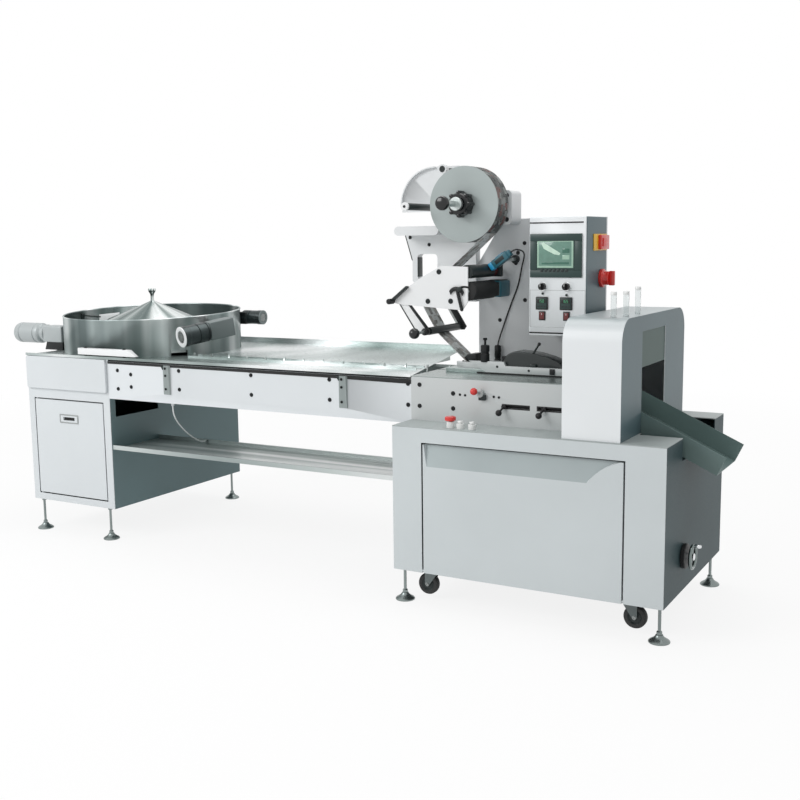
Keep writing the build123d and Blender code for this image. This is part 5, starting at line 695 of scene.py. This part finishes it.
# The disc's shaft, in metres, is drawn in a little so that it runs clear in its bore.
SHAFT_TOP, SHAFT_REACH, SHAFT_PLAY = 0.8755, 0.0205, 0.04
drum_axis = row(*DRUM, 0)
for vertex in bpy.data.objects["feed_disc_shell"].data.vertices:
    out = Vector((vertex.co.x - drum_axis[0], vertex.co.y - drum_axis[1], 0))
    if vertex.co.z < SHAFT_TOP and out.length < SHAFT_REACH:
        vertex.co -= out * SHAFT_PLAY

BAR_LOW, BAR_HIGH, BAR_POSTS = 875, 905, (-1740, -1500)
piece("drum_guide_set", [
    (prism([(-1776, BAR_LOW), (-1426, BAR_LOW), (-1468, BAR_HIGH), (-1776, BAR_HIGH)], 150, 180,
           1.5), "white_plate"),
    ([rod((x, 165, DECK_Z + 0.1), (x, 165, BAR_LOW + 0.5), 8, 24) for x in BAR_POSTS]
     + [socket_bolt(x, 165, BAR_HIGH, 6, 5, UP) for x in BAR_POSTS], "black_oxide"),
    (prism([(-2030, 976), (-1962, 1012), (-1892, 1034), (-1892, 1043), (-2030, 1029)],
           554.5, 557.5, 0.6), "white_plate"),
    ([rod((-2148, 556, 1022), (-2020, 556, 1018), 4, 24),
      block(-2150, -2143, 546, 566, 1004, 1032, 1)], "dark_steel")],
    replaced=["drum_guides"])

# ---- conveyor
RAIL_FACE, BRACKET_FACE = 154, 151
RAIL_BOLTS = [(-1535, 810), (-1535, 725), (-1455, 795), (-1455, 738), (-1171, 825), (-1171, 742),
              (-775, 826), (-775, 742), (-379, 828), (-379, 745), (-14, 831), (-14, 748),
              (37, 830), (37, 747), (182, 804), (182, 746)]
PANEL_SCREWS = [(211, 801), (233, 800), (352, 801), (373, 800)]
piece("rail_bolts", [(bolts(RAIL_BOLTS, RAIL_FACE, 6.5, 5)
                      + bolts(PANEL_SCREWS, RAIL_FACE, 3.6, 3), "black_oxide")])
# Black strip in the gap under the deck's front lip and a black wedge under its right end: painted
# shadow of the deck, the wedge also standing for a chain guard.
under_deck = [(-1594, 849.9), (-1594, 839), (-420, 836), (-60, 831), (0, 831), (0, 849.9)]
piece("deck_gap_strip", [([block(-1594, 0, 160, 173, 850.1, 857.9, 0.5),
                           prism(under_deck, 152.6, 153.95, 0.3)], "soft_black")])
bracket_parts = []
for x in (-1240, -312):
    bracket_parts += [
        (bolts([(x - 8, z) for z in (740, 800, 832)], BRACKET_FACE, 4.2, 3.4), "black_oxide"),
        (prism([(x - 34, 846), (x - 20, 846), (x - 20, 826)], 148, 152, 0.3), "dark_steel")]
piece("bracket_details", bracket_parts)

# ---- cabinet doors
PULL_X, PULL_Z = -1860, 561.5
pull_ring = [block(PULL_X - 60, PULL_X + 60, 151, 153.6, PULL_Z + z, PULL_Z + z + 5.5, 0.8)
             for z in (15.5, -21)]
pull_ring += [block(PULL_X + x, PULL_X + x + 6, 151, 153.6, PULL_Z - 16, PULL_Z + 16, 0.8)
              for x in (-60, 54)]
pull_cup = block(PULL_X - 36.5, PULL_X + 36.5, 161, 163, PULL_Z - 7.6, PULL_Z + 7.6)
piece("door_pull_trim", [(pull_ring, "hub_grey"), (pull_cup, "soft_black")],
      body="feeder_door_body")
piece("flap_hinge_pins", [(rod((x, 1.8, 150), (x + 23, 1.8, 150), 1.6, 20, 0.4), "black_oxide")
                          for x in (909, 100)])

# ---- infeed panel
piece("panel_red_knob", [
    (ball((290, 110, 823), 13.8), "red_plastic"),
    (axle((301, 811), 153.5, 138, 14, 32, 1.5), "cast_grey"),
    (rod((300, 142, 812), (292, 120, 821), 5, 24), "cast_grey"),
    (block(294, 322, 140, 153.5, 786, 806, 2), "dark_steel")])
slot_parts = [(block(380, 642, 167, 169, 755, 780), "soft_black")]
for left in (389, 528):
    strips = [(-4, 108, 757.5, 762.5), (-4, 108, 771.5, 776.5), (-4, 0, 762.5, 771.5),
              (104, 108, 762.5, 771.5)]
    slot_parts.append(([block(left + x0, left + x1, 153.78, 153.98, z0, z1)
                        for x0, x1, z0, z1 in strips], "black_plastic"))
piece("slot_rims", slot_parts)
BUTTON_Y, BUTTON_Z = 45, 692


def button_sleeve(x, h):
    """Thin sleeve round a push button, with its height above the ledge."""
    return lathe([(14.05, 0.2), (14.7, 0.2), (14.7, h - 0.8), (13.9, h + 0.2), (6.4, h + 0.2),
                  (6.4, h + 0.02), (14.05, h + 0.02)], (x, BUTTON_Y, BUTTON_Z), UP, 40)


piece("button_sleeves", [([button_sleeve(225, 24), button_sleeve(266, 18),
                           button_sleeve(314, 18)], "white_plastic")])

# ---- operator box
BOX_Y = 330


def front_plate(x0, x1, z0, z1, depth, ease=0.6):
    """Thin plate standing on the front of the operator box."""
    return block(x0, x1, BOX_Y - depth, BOX_Y - 0.02, z0, z1, ease)


def centred_plate(x, z, half_x, half_z, depth, ease):
    return front_plate(x - half_x, x + half_x, z - half_z, z + half_z, depth, ease)


def front_frame(x0, x1, z0, z1, width, depth, ease=0.6):
    """Square frame of four strips on the front of the operator box."""
    strips = ((x0, x1, z0, z0 + width), (x0, x1, z1 - width, z1),
              (x0, x0 + width, z0 + width, z1 - width), (x1 - width, x1, z0 + width, z1 - width))
    return [front_plate(*strip, depth, ease) for strip in strips]


screen_parts = [
    (front_frame(423, 628, 1239, 1401, 27, 6, 1.6), "bezel_green"),
    (front_plate(448, 604, 1262, 1380, 4.4, 0.2), "bezel_green"),
    (front_frame(452, 595, 1275, 1378, 7, 5, 0.3), "screen_border"),
    (front_plate(458, 589, 1281, 1372, 4.7, 0.1), "screen_mid"),
    (prism([(468, 1366), (476, 1370), (545, 1329), (540, 1322), (520, 1325), (478, 1346)],
           BOX_Y - 5, BOX_Y - 4.6), "screen_pale"),
    (front_plate(470, 578, 1288, 1296, 5, 0.1), "screen_dark"),
    (front_plate(552, 580, 1306, 1322, 5, 0.1), "screen_border"),
    (front_plate(552, 580, 1330, 1346, 5, 0.1), "screen_dark")]
screen_parts.append(([front_plate(466 + 16.2 * key, 477.5 + 16.2 * key, 1259.5, 1269.5, 7, 1)
                      for key in range(7)], "dark_steel"))
SEGMENTS = {"0": "abcdef", "1": "bc", "5": "afgcd", "6": "afgedc"}
SEGMENT_AT = {"a": (0, 1, True), "g": (0, 0, True), "d": (0, -1, True), "f": (-1, 0.5, False),
              "b": (1, 0.5, False), "e": (-1, -0.5, False), "c": (1, -0.5, False)}


def digits(text, left, centre_z, height):
    """Plain seven-segment numbers on a display."""
    half_w, half_h, line = height * 0.22, height * 0.46, height * 0.09
    bars = []
    for place, mark in enumerate(text):
        for name in SEGMENTS[mark]:
            sx, sz, flat = SEGMENT_AT[name]
            x, z = left + place * height * 0.72 + sx * half_w, centre_z + sz * half_h
            dx, dz = half_w - line * 0.4, line * 0.5
            if not flat:
                dx, dz = dz, half_h / 2 - line * 0.4
            bars.append(block(x - dx, x + dx, BOX_Y - 7.6, BOX_Y - 7, z - dz, z + dz))
    return bars


for x, value in ((471, "150"), (567, "165")):
    z = 1142
    keys = [block(x + dx - 4, x + dx + 4, BOX_Y - 7.4, BOX_Y - 6.2, z - 13.6, z - 8.4, 0.5)
            for dx in (-12, 0, 12)]
    screen_parts += [(centred_plate(x, z, 24, 24, 5, 1.2), "black_plastic"),
                     (centred_plate(x, z, 20, 20, 6.4, 0.6), "bezel_green"),
                     (centred_plate(x, z + 9, 17, 8, 7, 0.3), "black_plastic"),
                     (digits(value, x - 9, z + 9, 11), "digit_green"),
                     (keys, "dark_steel")]
for x in (472, 569):
    screen_parts += [
        (centred_plate(x, 1095, 13, 17, 3, 0.8), "black_plastic"),
        (block(x - 9.5, x + 9.5, BOX_Y - 6, BOX_Y - 2.8, 1082, 1108, 1.2), "deep_red"),
        (centred_plate(x, 1101.5, 0.8, 3.5, 6.3, 0.1), "white_plastic")]
screen_parts += [
    ([axle(lamp, BOX_Y, BOX_Y - 6, 4.5, 24, 1.2) for lamp in ((474, 1179), (569, 1174))],
     "dark_steel"),
    ([front_plate(420, 632, 1439.5, 1444.5, 0.8, 0.1),
      front_plate(419, 560, 1027.5, 1033, 0.8, 0.1)], "black_plastic"),
    (front_frame(422, 641, 1052, 1192, 1.2, 0.7, 0.1), "hub_grey"),
    (block(645, 648.6, 400, 547, 1337, 1399, 0.8), "yellow_plastic"),
    ([block(645, 661, 446, 540, 1341, 1395, 3, 3),
      block(660, 665, 462, 524, 1352, 1384, 2, 3)], "red_plastic")]
piece("operator_controls", screen_parts, replaced=["operator_panel"])
collar = [(13.6, 0), (17.5, 0), (17.5, 1.6), (16.4, 2.6), (13.6, 2.6)]
for side, x in (("left", 472), ("right", 567)):
    piece("selector_mark_" + side,
          [(block(x - 1, x + 1, 305, 305.8, 1206, 1215, 0.2), "white_plastic")],
          body="selector_%s_body" % side)
    piece("selector_collar_" + side,
          [(lathe(collar, (x, BOX_Y - 0.05, 1205), FRONT, 40), "chrome")])
switch_profile = [(0, 0), (34, 0), (35, 1), (35, 10.5), (33.5, 12), (28, 13), (26.5, 16), (26, 32),
                  (24, 34), (0, 34)]
piece("main_switch_knob", [
    ([lathe(switch_profile, (645.3, 493, 1232), RIGHT, 56),
      block(678.8, 699.1, 485.5, 500.5, 1204.5, 1259.5, 3, 3)], "red_plastic")],
    body="main_switch_body", replaced=["main_switch"])

# ---- head plate
HEAD_BOLTS = [(306, 1367), (278, 1329), (309, 1140), (199, 1057), (269, 1288), (590, 900),
              (130, 900)]
piece("head_bolts", [(bolts(HEAD_BOLTS, 550, 6, 5), "black_oxide")])

# ---- film reel
REEL, ROLL_Y = (140, 1519), 335
steps_front = [(44 + index * 10.3, 0.35 * (index % 2)) for index in range(10)]
steps_back = [(r, 100 - h) for r, h in reversed(steps_front)]
wound = [(33.2, 1), (43.8, 1), *steps_front, (146.2, 0.4), (147, 1.2), (147, 98.8),
         (146.2, 99.6), *steps_back, (43.8, 99), (33.2, 99)]
rim = [(146.9, 1.4), (147, 1.4), (147, 98.6), (146.9, 98.6)]
core = [(33.2, -0.8), (42.6, -0.8), (43.6, 0.4), (43.6, 99.6), (42.6, 100.8), (33.2, 100.8)]
piece("roll_sides", [(roller(wound, REEL, ROLL_Y, 128), "film_side"),
                     (roller(rim, REEL, ROLL_Y, 128), "film_rim"),
                     (roller(core, REEL, ROLL_Y, 72), "cardboard")],
      body="reel_body", replaced=["film_roll"])
chuck = [roller([(11, 0), (38, 0), (42, 4), (44, 14), (44, 50), (11, 50)], REEL, 285, 64)]
chuck += [axle(rib, 287, 333, 7.8, 20, 2.5) for rib in arc_points(*REEL, 44, 0, 315, 7)]
knob_profile = [(0, 0), (16, 0), (24, 4), (27, 10), (27, 20), (24.5, 27), (17, 30), (12, 30.2)]
piece("reel_spindle", [
    (axle(REEL, 168, 540, 11.9, 40, 1), "brushed_steel"),
    ([roller(knob_profile, REEL, 140, 56), *chuck], "knob_black"),
    (roller([(12, 0), (24, 0), (26, 2), (26, 16), (12, 16)], REEL, 262, 48), "brushed_steel"),
    ([roller([(12, 0), (40, 0), (43, 2), (43, 12), (40, 14), (12, 14)], REEL, 435.2, 56),
      axle(REEL, 334, 436, 32.8, 48)], "dark_steel")],
    body="reel_body", replaced=["reel_shaft"])
SPLICE = (-66, 1514)
splice_cap = [(0, 0), (6, 0), (6.5, 2.5), (15, 2.5), (16, 3.5), (16, 12), (0, 12)]
clamp_knob = [(0, 0), (13, 0), (17.6, 4), (18.9, 9), (18.9, 15), (16.6, 21), (9, 24), (8, 40),
              (8, 112), (0, 112)]
piece("splice_roller_and_knob", [
    (axle(SPLICE, 244, 544, 13.9, 40, 0.5), "dark_steel"),
    (roller(splice_cap, SPLICE, 232, 40), "white_plate"),
    (axle(SPLICE, 231, 234, 5.5, 24, 0.5), "black_oxide"),
    (roller(clamp_knob, (0, 1664), 430, 44), "dark_steel")])
piece("bracket_bolts", [(bolts([(82, 1460), (270, 1460), (82, 1553), (270, 1553)], 455, 7, 6),
                         "black_oxide")])

# ---- film feed
# Dark strips on the inner left side of the frame's window and along its slanted left side are
# painted shade; the bolts are real.
piece("film_frame_trim", [
    ([prism([(-166, 1232), (-162.5, 1232), (-162.5, 1312), (-166, 1312)], 521.4, 561, 0.3),
      prism([(-227.5, 1412), (-223, 1412), (-188, 1300), (-192.5, 1300)], 521.4, 561, 0.4)],
     "dark_steel"),
    (bolts([(-200, 1395), (-110, 1365), (60, 1395), (60, 1160)], 522, 5.5, 4.5), "black_oxide")])
edge_from, edge_to = Vector((-126, 1139)), Vector((-47, 1204))
along = (edge_to - edge_from).normalized()
across = Vector((-along.y, along.x)) * 7
edge_outline = [edge_from - across * 0.6, edge_to - across * 0.6, edge_to + across * 0.6,
                edge_from + across * 0.9]


def round_ends(x0, z0, x1, z1, radius):
    """Outline of a bar with round ends."""
    turn = math.degrees(math.atan2(z1 - z0, x1 - x0))
    return (arc_points(x1, z1, radius, turn - 90, turn + 90, 10)
            + arc_points(x0, z0, radius, turn + 90, turn + 270, 10))


crescent = arc_points(164, 1172, 34, 150, 20, 12) + arc_points(164, 1164, 26, 15, 155, 12)
piece("film_plate_trim", [
    (prism(edge_outline, 206, 231.4, 1.5), "dark_steel"),
    ([axle((-118, 1146), 190, 226, 11, 32, 2), prism(crescent, 218, 224.6, 0.6),
      prism(round_ends(168, 1196, 189, 1118, 5.5), 214, 222, 1.2)], "black_oxide"),
    ([axle((180, 1196), 212, 225, 10, 28, 2),
      *bolts([(88, 1262), (39, 1148), (138, 1150)], 225, 7.5, 6)], "dark_steel")])
IDLER = (32, 1030)
piece("swing_arm_set", [
    (prism([(-106, 1160), (-72, 1160), (-42, 1124), (41, 1029), (30, 1016), (-20, 1034)],
           231.3, 239, 1.2), "white_plate"),
    ([prism([(-75, 1160), (-66, 1160), (46, 1030), (37, 1024)], 230.2, 240.6, 0.8),
      prism([(-58, 1160), (-24, 1160), (10, 1114), (64, 1030), (54, 1016), (36, 1016),
             (25, 1028)], 512.3, 521.7, 1.2),
      axle(IDLER, 205, 231.5, 14, 36, 2)], "black_oxide"),
    ([prism([(-110, 1160), (-104, 1160), (-18, 1035), (-24, 1033)], 230.6, 240, 0.8),
      axle((-45, 1150), 240, 513, 12, 36, 0.5)], "dark_steel"),
    (prism([(-58, 1160), (-48, 1160), (38, 1027), (28, 1027)], 511.7, 512.6, 0.3), "hub_grey"),
    (axle(IDLER, 118, 521.8, 6, 28), "brushed_steel"),
    (ball((IDLER[0], 125, IDLER[1]), 20.8, 40), "knob_black")],
    replaced=["swing_arms"])
NIP, PRESS, SENSOR_ROD = (205, 1188), (200, 1262), (269, 1303)
nip_profile = [(8, 0), (30, 0), (36, 3), (36, 212), (30, 215), (8, 215)]
press_profile = [(8, 0), (22, 0), (26, 3), (26, 212), (22, 215), (8, 215)]
sensor_parts = [(block(-34, 40, -15, 15, -17, 17, 4, 3), "teal_paint"),
                (block(-52, -33, -14, 14, -16, 16, 4.5, 3), "bright_blue"),
                (block(38, 52, -12, 12, -13, 13, 3, 3), "teal_paint"),
                (block(-20, 22, -15.6, -14.6, -8, 8, 0.4, 3), "dark_steel"),
                (block(-10, 26, -10, 10, 16.6, 19, 1, 3), "bright_blue"),
                (rod((-70, 0, 0), (-51, 0, 0), 11, 32, 2), "black_oxide")]
for shape, _ in sensor_parts:
    placed(shape, Matrix.Translation(SENSOR_AT) @ Matrix.Rotation(-SENSOR_TILT, 4, "Y"))
piece("film_drive_unit", [
    (roller(nip_profile, NIP, 235, 56), "soft_black"),
    (roller(press_profile, PRESS, 235, 56), "dark_steel"),
    ([axle(NIP, 231, 549.9, 8, 28), axle(PRESS, 231, 549.9, 8, 28)], "brushed_steel"),
    (block(180.5, 245.5, 453.5, 549.9, 1155.5, 1220.5, 8, 4), "teal_paint"),
    (roller([(8, 0), (22, 0), (24, 2), (24, 24), (8, 24)], PRESS, 452, 48), "deep_red"),
    ([block(186, 240, 449.5, 455, 1161, 1215, 3, 3), block(172, 236, 478, 500, 1236, 1284, 4, 3),
      block(188, 238, 470, 538, 1219.5, 1224, 1.5)], "dark_steel"),
    *sensor_parts,
    (axle(SENSOR_ROD, 412, 549.8, 7, 24), "brushed_steel"),
    (roller([(7, 0), (16, 0), (17, 1), (17, 12), (7, 12)], SENSOR_ROD, 538, 36), "dark_steel")],
    replaced=["film_drive"])

# ---- table fittings
TABLE_Z, BAR_Z = 863, 895
adjuster = [(0, 0), (17, 0), (17.5, 2), (17.5, 30), (15, 33), (15, 38), (17.5, 41), (17.5, 62),
            (14.5, 66), (4.6, 67), (4.6, 84), (8, 86), (8.4, 88), (8.4, 92), (6.5, 94), (0, 94)]
film_knob = [(0, 0), (13, 0), (13, 8), (9, 11), (9, 20), (12, 23), (12, 30), (9, 33), (0, 33)]
cable_socket = [(0, 0), (13, 0), (13, 34), (11.5, 37), (11.5, 42), (13, 45), (13, 88), (10.5, 92),
                (0, 92)]
cover_line = arc_points(360, BAR_Z, 58, 192, 88, 26) + [
    (398, 951), (440, 946), (492, 934), (534, 918), (548, 906), (548, 884)]
piece("film_former_set", [
    (block(62, 675.8, 330, 342, TABLE_Z, 880, 1.2), "table_steel"),
    (prism([(164, 912), (238, 869), (675.8, 869), (675.8, 896), (322, 896), (315, 912)],
           326.5, 341.5, 1.2), "panel_plate"),
    # Thin black strip under the light bar: painted shadow line at its foot.
    (block(200, 675.8, 326, 329.8, TABLE_Z + 0.1, 869.2, 0.4), "soft_black"),
    (block(506, 526, 321, 327, 872, 894, 1.2), "black_oxide"),
    ([block(62, 675.8, 428, 440, TABLE_Z, BAR_Z, 1.2), block(130, 300, 347, 423, 903, 905, 0.5)]
     + [block(130, 300, y, y + 2, TABLE_Z + 0.2, 905, 0.5) for y in (347, 421)], "panel_plate"),
    ([prism([(136, 921), (150, 934), (186, 937), (186, 905), (150, 904)], 347, 423, 1.5),
      lathe(adjuster, (232, 336, 909), UP, 40), lathe(film_knob, (308, 352, 900), UP, 32),
      lathe(cable_socket, (196, 535, TABLE_Z), UP, 32),
      *[socket_bolt(x, 434, BAR_Z, 4.5, 4, UP) for x in (90, 330, 480, 640)]], "black_oxide"),
    (prism(cover_line, 342, 428, 3, 3), "smoked_cover"),
    ([block(422, 446, 330, 440, BAR_Z, 907, 1.5), rod((424, 356, 944), (449, 356, 982), 3.8, 24),
      *bolts([(288, 893), (420, 883), (620, 883)], 326.5, 3.6, 2.6)], "dark_steel"),
    (ball((450, 356, 984), 7, 24), "knob_black")],
    replaced=["film_former"])
post_cap = [(0, -12), (9, -12), (10, -10), (10, -5), (8, -1.6), (4, 0), (0, 0)]
POST_TOPS = [(823, 110, 1200), (850, 165, 1200), (850, 300, 1210)]
piece("post_caps", [([lathe(post_cap, top, UP, 32) for top in POST_TOPS], "white_plastic")])

# ---- handwheel
WALL_X, WHEEL = 1050, (235, 262)
hub_dish = [(7.9, -20), (7.9, 3), (44, 3), (45, 4), (45, 15), (43, 17), (14, 17), (0, 17)]
hub_cap = [(0, 16), (13, 16), (13, 40.5), (11, 42.5), (0, 42.5)]
handle = [(4, 0), (6, 4), (7, 12), (7, 24), (5, 29), (0, 30.5)]
wheel_parts = [
    (lathe(hub_dish, (WALL_X, *WHEEL), RIGHT, 56), "black_plastic"),
    (lathe(arc_points(40, 36, 6.5, 0, 340, 17), (WALL_X, *WHEEL), RIGHT, 72), "dark_chrome"),
    (lathe(hub_cap, (WALL_X, *WHEEL), RIGHT, 40), "chrome")]
wheel_parts += [(rod((1084, *WHEEL), (1086, *tip), 4.6, 24, far_radius=3.8), "dark_chrome")
                for tip in arc_points(*WHEEL, 38, 90, 330, 2)]
wheel_parts.append((lathe(handle, (1086, WHEEL[0], WHEEL[1] + 40), RIGHT, 28), "chrome"))
piece("handwheel_assembly", wheel_parts, body="handwheel_body",
      replaced=["handwheel"])

# ---- casters and feet
CASTER_Y, CASTER_Z = 90, 63
tyre = [(26, -14), (36, -14), (40.4, -11), (42, -7), (42, 7), (40.4, 11), (36, 14), (26, 14)]
hub = [(4.1, -10), (8, -10), (9, -8), (21, -8.5), (26.2, -13), (26.2, 13), (21, 8.5), (9, 8),
       (8, 10), (4.1, 10)]
for side, x in (("left", 107), ("right", 928)):
    piece("wheel_" + side, [(roller(tyre, (x, CASTER_Z), CASTER_Y, 56), "tyre_rubber"),
                            (roller(hub, (x, CASTER_Z), CASTER_Y, 40), "dark_steel")],
          body="caster_wheel_%s_body" % side,
          replaced=["caster_wheel_" + side])
    nuts = [socket_bolt(x, CASTER_Y - 18, CASTER_Z, 5.5, 4),
            socket_bolt(x, CASTER_Y + 18, CASTER_Z, 5.5, 4, BACK)]
    piece("axle_nut_" + side, [(nuts, "hub_grey")], body="caster_fork_%s_body" % side)
dress_node("rear_casters", "caster_steel")
FEET = [(24, 46, 131), (1026, 46, 131), (1026, 760, 131), (24, 760, 131),
        (-2078, 170, 150), (-1640, 170, 150), (-1640, 1088, 150), (-2078, 1088, 150)]
THREAD_FROM, THREAD_PITCH = 42, 5


def foot(x, y, top):
    """Round foot with its threaded stem up to a height."""
    profile = [(0, 0), (37, 0), (38, 1.5), (37.5, 5), (34, 8.5), (26, 13), (19, 18), (14.5, 23.5),
               (13, 27), (10, 28), (10, 38), (8, 40), (6, 41)]
    for index in range(int((top - THREAD_FROM - 3) // THREAD_PITCH)):
        base = THREAD_FROM + index * THREAD_PITCH
        profile += [(6, base + 1), (5.3, base + 3)]
    return lathe([*profile, (6, top - 1), (0, top - 0.2)], (x, y, 0), UP, 40)


nuts = [rod((x, y, top - 9), (x, y, top - 0.1), 11, 6, 0.8) for x, y, top in FEET]
piece("levelling_feet_set", [([foot(*place) for place in FEET] + nuts, "foot_metal")],
      replaced=["levelling_feet"])

# ---- studio
WHITE = (1, 1, 1, 1)
FLOOR_HALF, FLOOR_DROP, FLOOR_GREY = 30, 0.0005, 0.92


def seen_share(tree):
    """1 where the camera, a mirror or clear plastic looks, and 0 for the light of the room."""
    path = add_node(tree, "LightPath", {}).outputs
    seen = add_node(tree, "Math", {0: path["Is Camera Ray"], 1: path["Is Transmission Ray"]},
                    operation="MAXIMUM")
    mirrored = add_node(tree, "Math", {0: seen.outputs["Value"], 1: path["Is Glossy Ray"]},
                        operation="MAXIMUM")
    return mirrored.outputs["Value"]


floor_bm = bmesh.new()
bmesh.ops.create_grid(floor_bm, x_segments=1, y_segments=1, size=FLOOR_HALF)
floor = new_object("studio_floor", mesh_from(floor_bm, "studio_floor"))
floor.location.z = -FLOOR_DROP
tree, shader = new_material("studio_floor")
feed(tree, shader, {"Base Color": (FLOOR_GREY, FLOOR_GREY, FLOOR_GREY, 1), "Roughness": 0.9})
reach = add_node(tree, "VectorMath", {0: object_place(tree)}, operation="LENGTH")
far = add_node(tree, "MapRange", {"Value": reach.outputs["Value"], "From Min": 1.8, "From Max": 6,
                                  "To Min": 0.86, "To Max": 1})
share = add_node(tree, "Math", {0: seen_share(tree), 1: far.outputs["Result"]},
                 operation="MULTIPLY")
white = add_node(tree, "Emission", {"Color": WHITE, "Strength": 1})
blend = add_node(tree, "MixShader", {"Fac": share.outputs["Value"], 1: shader.outputs["BSDF"],
                                     2: white.outputs["Emission"]})
feed(tree, tree.nodes["Material Output"], {"Surface": blend.outputs["Shader"]})
floor.data.materials.append(MATS["studio_floor"])

world = bpy.data.worlds.new("studio")
bpy.context.scene.world = world
world.use_nodes = True
tree = world.node_tree
level = add_node(tree, "MapRange", {"Value": seen_share(tree), "To Min": 0.62, "To Max": 1})
feed(tree, tree.nodes["Background"], {"Color": WHITE, "Strength": level.outputs["Result"]})


def area_light(name, place, target, size, power):
    data = bpy.data.lights.new(name, "AREA")
    data.shape = "RECTANGLE"
    data.size, data.size_y = size
    data.energy = power
    lamp = new_object(name, data)
    lamp.location = place
    lamp.rotation_euler = (Vector(target) - Vector(place)).to_track_quat("-Z", "Y").to_euler()


area_light("key_light", (-3.2, -5.2, 4.2), (0, 0, 0.7), (3.5, 2.5), 190)
area_light("top_light", (0.5, 0.5, 4.5), (0.2, 0, 0.9), (4, 2), 60)

bpy.context.scene.view_settings.view_transform = "Standard"
